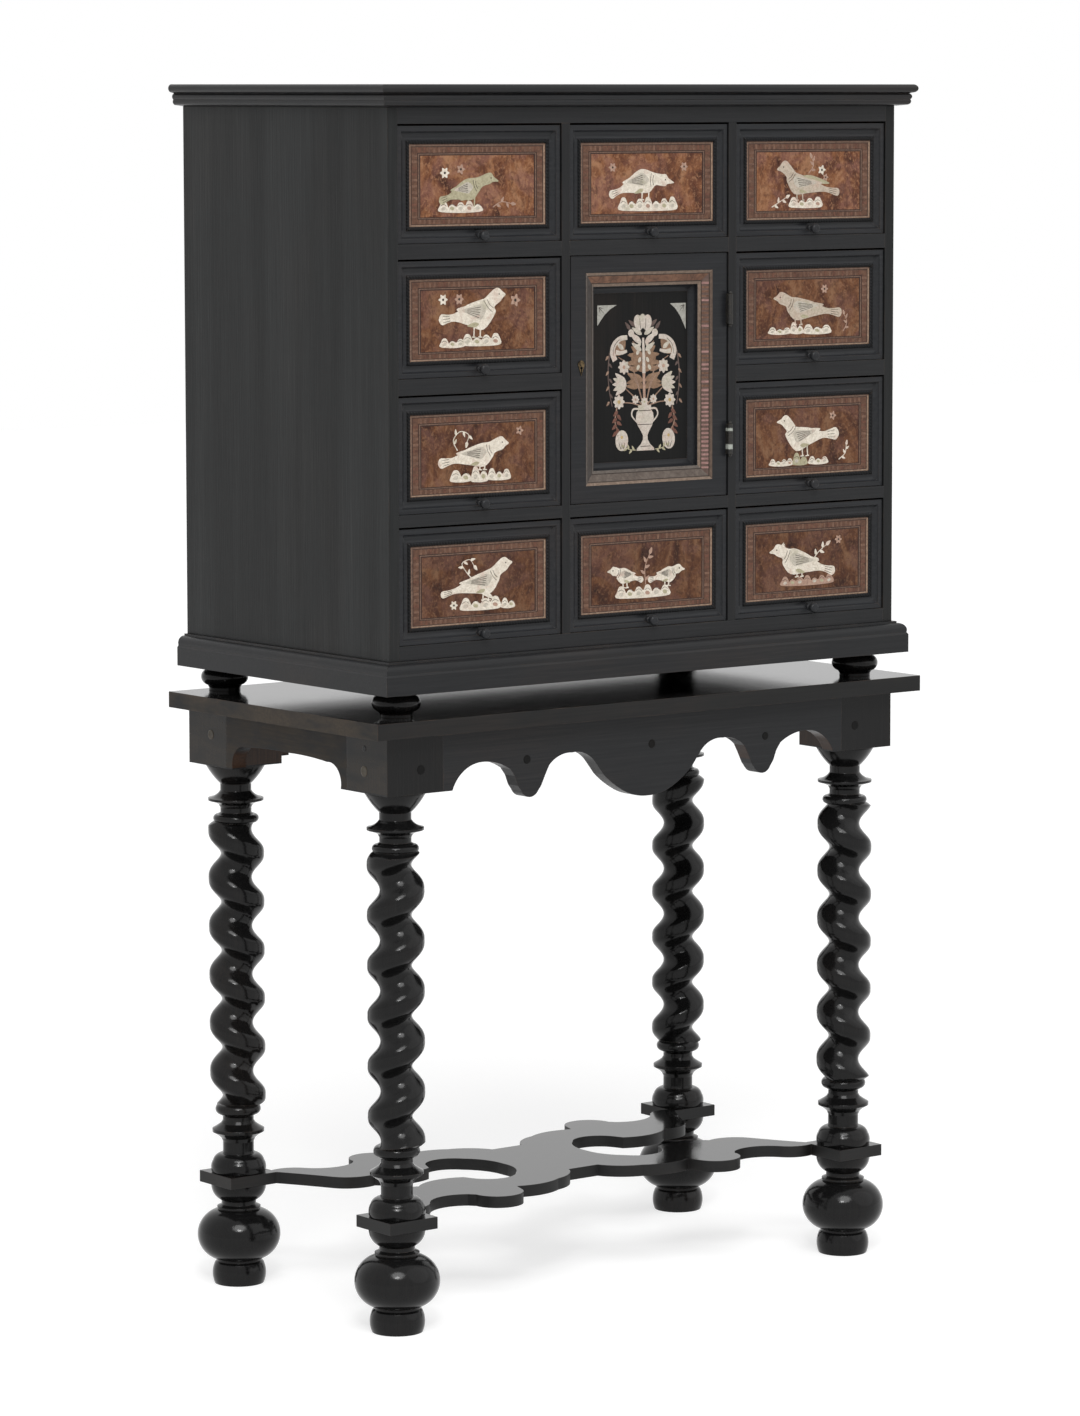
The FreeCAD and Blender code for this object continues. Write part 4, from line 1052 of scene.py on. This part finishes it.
def vase_picture(v):
    """A footed vase with a dense spray of flowers, the same on both sides."""
    vase = [(0, -88), (13.5, -88), (13, -85.5), (7, -80.5), (3.6, -75), (3.4, -70), (6, -65), (11, -58),
            (13.5, -50), (12.5, -43), (8.5, -38.5), (10, -35.5), (9.5, -34), (0, -34)]
    body = vase + [(-x, y) for x, y in vase[-2:0:-1]]
    for side in (-1, 1):
        handle = [(side * 8, -38.5), (side * 17, -38.5), (side * 19.5, -46), (side * 11, -55)]
        v.lay(stroke(handle, 2.4, 1.6), soft_bone, 0.28)
    v.lay(body, soft_bone, 0.36)
    for y, half in ((-40.5, 9.0), (-57.0, 11.2), (-83.0, 7.6)):
        v.lay(rectangle(-half, half, y - 0.4, y + 0.4), cut_line, 0.42)
    for k in range(-3, 4):
        v.lay(leaf(2.6 * k, -56.0, 12.0, 1.7, math.pi / 2 + 0.05 * k), bone_shade, 0.4)
    v.lay(stroke([(0, -36), (0, -10), (0, 8)], 3.4, 4.0), bone_pink, 0.26)
    v.lay(stroke([(0, 4), (0.4, 22), (0, 46)], 5.0, 3.0), soft_bone, 0.3)
    v.lay(ellipse(0, 66, 5.2, 8.6, 0.0, 16), bone_shade, 0.33)
    posy(v, 0, -30, 5.5, bone_green)
    half_spray(v, -1)
    half_spray(v, 1)


def spandrels(v, left, right, top):
    """White engraved corner pieces that leave an arch between them."""
    for edge, side, wide, deep in ((left, -1, 29, 24), (right, 1, 24, 31)):
        shape = [(0, 0), (1.0, 0), (0.66, -0.2), (0.38, -0.46), (0.17, -0.74), (0, -1.0)]
        v.lay([(edge - side * wide * x, top + deep * y) for x, y in shape], bone_grey, 0.32)
        for reach, lean in ((11.0, 0.0), (8.0, 0.5), (8.0, -0.5)):
            angle = -math.pi / 2 - side * (math.pi / 4 + lean)
            v.lay(leaf(edge - side * 2.0, top - 2.0, reach, 0.8, angle), cut_line, 0.38)


def door_panel():
    """Black panel with the vase of flowers, which leans a little."""
    work, width, height = veneered("door", panel_black)
    spandrels(work, 5.0 - width / 2, width / 2 - 2.5, height / 2 - 14.0)
    work.shift = PICTURE_SHIFT
    work.lean = PICTURE_LEAN
    vase_picture(work)
    work.done("door")


string_pale = inlay("string_pale", (0.22, 0.16, 0.12), (0.125, 0.086, 0.062), 10.0)
string_brown = inlay("string_brown", (0.12, 0.082, 0.06), (0.07, 0.046, 0.034), 10.5)
string_dull = inlay("string_dull", (0.12, 0.1, 0.086), (0.07, 0.056, 0.047), 10.0)
border_wood = inlay("border_wood", (0.12, 0.095, 0.078), (0.07, 0.052, 0.042), 12.0, 110)
border_warm = inlay("border_warm", (0.2, 0.098, 0.056), (0.08, 0.038, 0.024), 13.0, 70)
border_painted_shade = inlay("border_painted_shade", (0.052, 0.043, 0.038), (0.034, 0.027, 0.023), 14.0, 110)
border_rosy = inlay("border_rosy", (0.12, 0.078, 0.064), (0.078, 0.048, 0.038), 15.0, 110)
tick_rosy = inlay("tick_rosy", (0.33, 0.19, 0.17), (0.21, 0.115, 0.1), 16.0, 110)
soft_bone = inlay("soft_bone", (0.58, 0.52, 0.455), (0.43, 0.365, 0.31), 17.0, 260, True)
bone_grey = inlay("bone_grey", (0.4, 0.39, 0.35), (0.26, 0.25, 0.22), 11.0)
brown_leaf = inlay("brown_leaf", (0.27, 0.165, 0.102), (0.15, 0.088, 0.054), 18.0, 140)
dim_leaf = inlay("dim_leaf", (0.12, 0.082, 0.07), (0.07, 0.047, 0.04), 18.5, 140)
stem_wood = inlay("stem_wood", (0.3, 0.195, 0.14), (0.18, 0.112, 0.078), 4.7, 140)
red_leaf = inlay("red_leaf", (0.17, 0.072, 0.05), (0.095, 0.042, 0.03), 19.0)
heart_gold = inlay("heart_gold", (0.5, 0.36, 0.16), (0.34, 0.23, 0.1), 20.0)
panel_black = ebonised(
    "panel_black", 2, (0.0042, 0.0041, 0.004), (0.009, 0.0088, 0.0084),
    brown=0.3, gloss=0.36, specular=0.12)
door_border()
door_panel()


# Pins in the stand

PEG_CORNERS = 20
PEG_PROFILE = ((1.0, -0.4), (1.0, 0.25), (0.8, 0.55), (0.35, 0.4))
FRONT_PEGS = ((-0.336, 0.666, 5.6), (-0.182, 0.666, 5.2), (0.0056, 0.67, 5.2), (0.182, 0.666, 4.8),
              (0.326, 0.668, 5.4))
SIDE_PEGS = ((-0.1515, 0.6635, 6.4, 1), (0.164, 0.676, 6.0, 1), (-0.152, 0.69, 3.6, 0))


def peg_heads():
    """Ends of the wooden pins that hold the aprons and blocks together."""
    mesh = bmesh.new()
    front_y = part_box("apron_front")[0][1]
    left_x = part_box("apron_left")[0][0]
    spots = [((x, front_y, z), (0, -1, 0), radius, 2) for x, z, radius in FRONT_PEGS]
    for y, z, radius, index in SIDE_PEGS:
        spots += [((-side * left_x, y, z), (side, 0, 0), radius, index) for side in (-1, 1)]
    up = Vector((0, 0, 1))
    turns = [2 * math.pi * k / PEG_CORNERS for k in range(PEG_CORNERS)]
    for middle, out, radius, index in spots:
        out = Vector(out)
        across = up.cross(out)
        rings = []
        for reach, lift in PEG_PROFILE:
            axis = Vector(middle) + out * lift * MM
            arm = radius * reach * MM
            rings.append([mesh.verts.new(axis + (across * math.cos(turn) + up * math.sin(turn)) * arm)
                          for turn in turns])
        for face in bridge(mesh, rings):
            face.material_index = index
    put("stand_pegs", mesh, "cabinet", [black_x, worn_peg, dark_peg], slot="ebonised_wood")


worn_peg = ebonised(
    "worn_peg", 1, (0.04, 0.033, 0.023), (0.11, 0.09, 0.062), brown=0.9, edge=1.0)
dark_peg = ebonised(
    "dark_peg", 1, (0.005, 0.005, 0.005), (0.011, 0.0108, 0.0105),
    brown=0.1, gloss=0.5, edge=0.1, specular=0.08)
peg_heads()


# Floor and light

FLOOR_REACH = 14.0
FLOOR_GAP = 0.0002
FLOOR_LIT = (0.8, 0.8, 0.8)
FLOOR_SEEN = (0.46, 0.46, 0.46)
FLOOR_GLOW = 0.655
WORLD_LIGHT = 0.52


def make_floor():
    """A floor that is seen white but for the object's shadow, and lights the object as a pale floor."""
    data = bpy.data.meshes.new("floor")
    corners = rectangle(-FLOOR_REACH, FLOOR_REACH, -FLOOR_REACH, FLOOR_REACH)
    data.from_pydata([(x, y, 0) for x, y in corners], [], [(0, 1, 2, 3)])
    floor = linked("floor", data)
    floor.location.z = -FLOOR_GAP
    material = bpy.data.materials.new("floor")
    material.use_nodes = True
    t = Tree(material.node_tree)
    t.tree.nodes.clear()
    seen = t.background()
    paint = t.feed_all(t.add("BsdfDiffuse"), Color=t.mix(seen, FLOOR_LIT, FLOOR_SEEN))
    glow = t.feed_all(t.add("Emission"), Strength=t.times(seen, FLOOR_GLOW))
    both = t.add("AddShader")
    t.feed(both.inputs[0], paint)
    t.feed(both.inputs[1], glow)
    t.feed(t.add("OutputMaterial").inputs["Surface"], both.outputs[0])
    data.materials.append(material)


def make_world():
    """White where it is seen, dimmer as a light."""
    scene.world = bpy.data.worlds.new("world")
    scene.world.use_nodes = True
    t = Tree(scene.world.node_tree)
    level = t.spread(t.background("Is Transmission Ray"), 0.0, 1.0, WORLD_LIGHT, 1.0)
    t.feed_all(t.tree.nodes["Background"], Color=(1, 1, 1), Strength=level)


def make_light(name, kind, energy, direction, **values):
    data = bpy.data.lights.new(name, kind)
    data.energy = energy
    for key, value in values.items():
        setattr(data, key, value)
    lamp = linked(name, data)
    aim(lamp, direction)
    return lamp


make_floor()
make_world()
make_light("key", "SUN", 1.6, (0.62, 0.95, -1.25), angle=math.radians(30))
make_light("fill", "SUN", 0.35, (-0.6, 0.8, -0.7), angle=math.radians(60))
# A square soft box that gives the polished turnings their highlights
box_place = Vector((-2.7, -3.4, 3.3))
box = make_light("spot", "AREA", 44, Vector((0, 0, 0.7)) - box_place, shape="SQUARE", size=0.5)
box.location = box_place
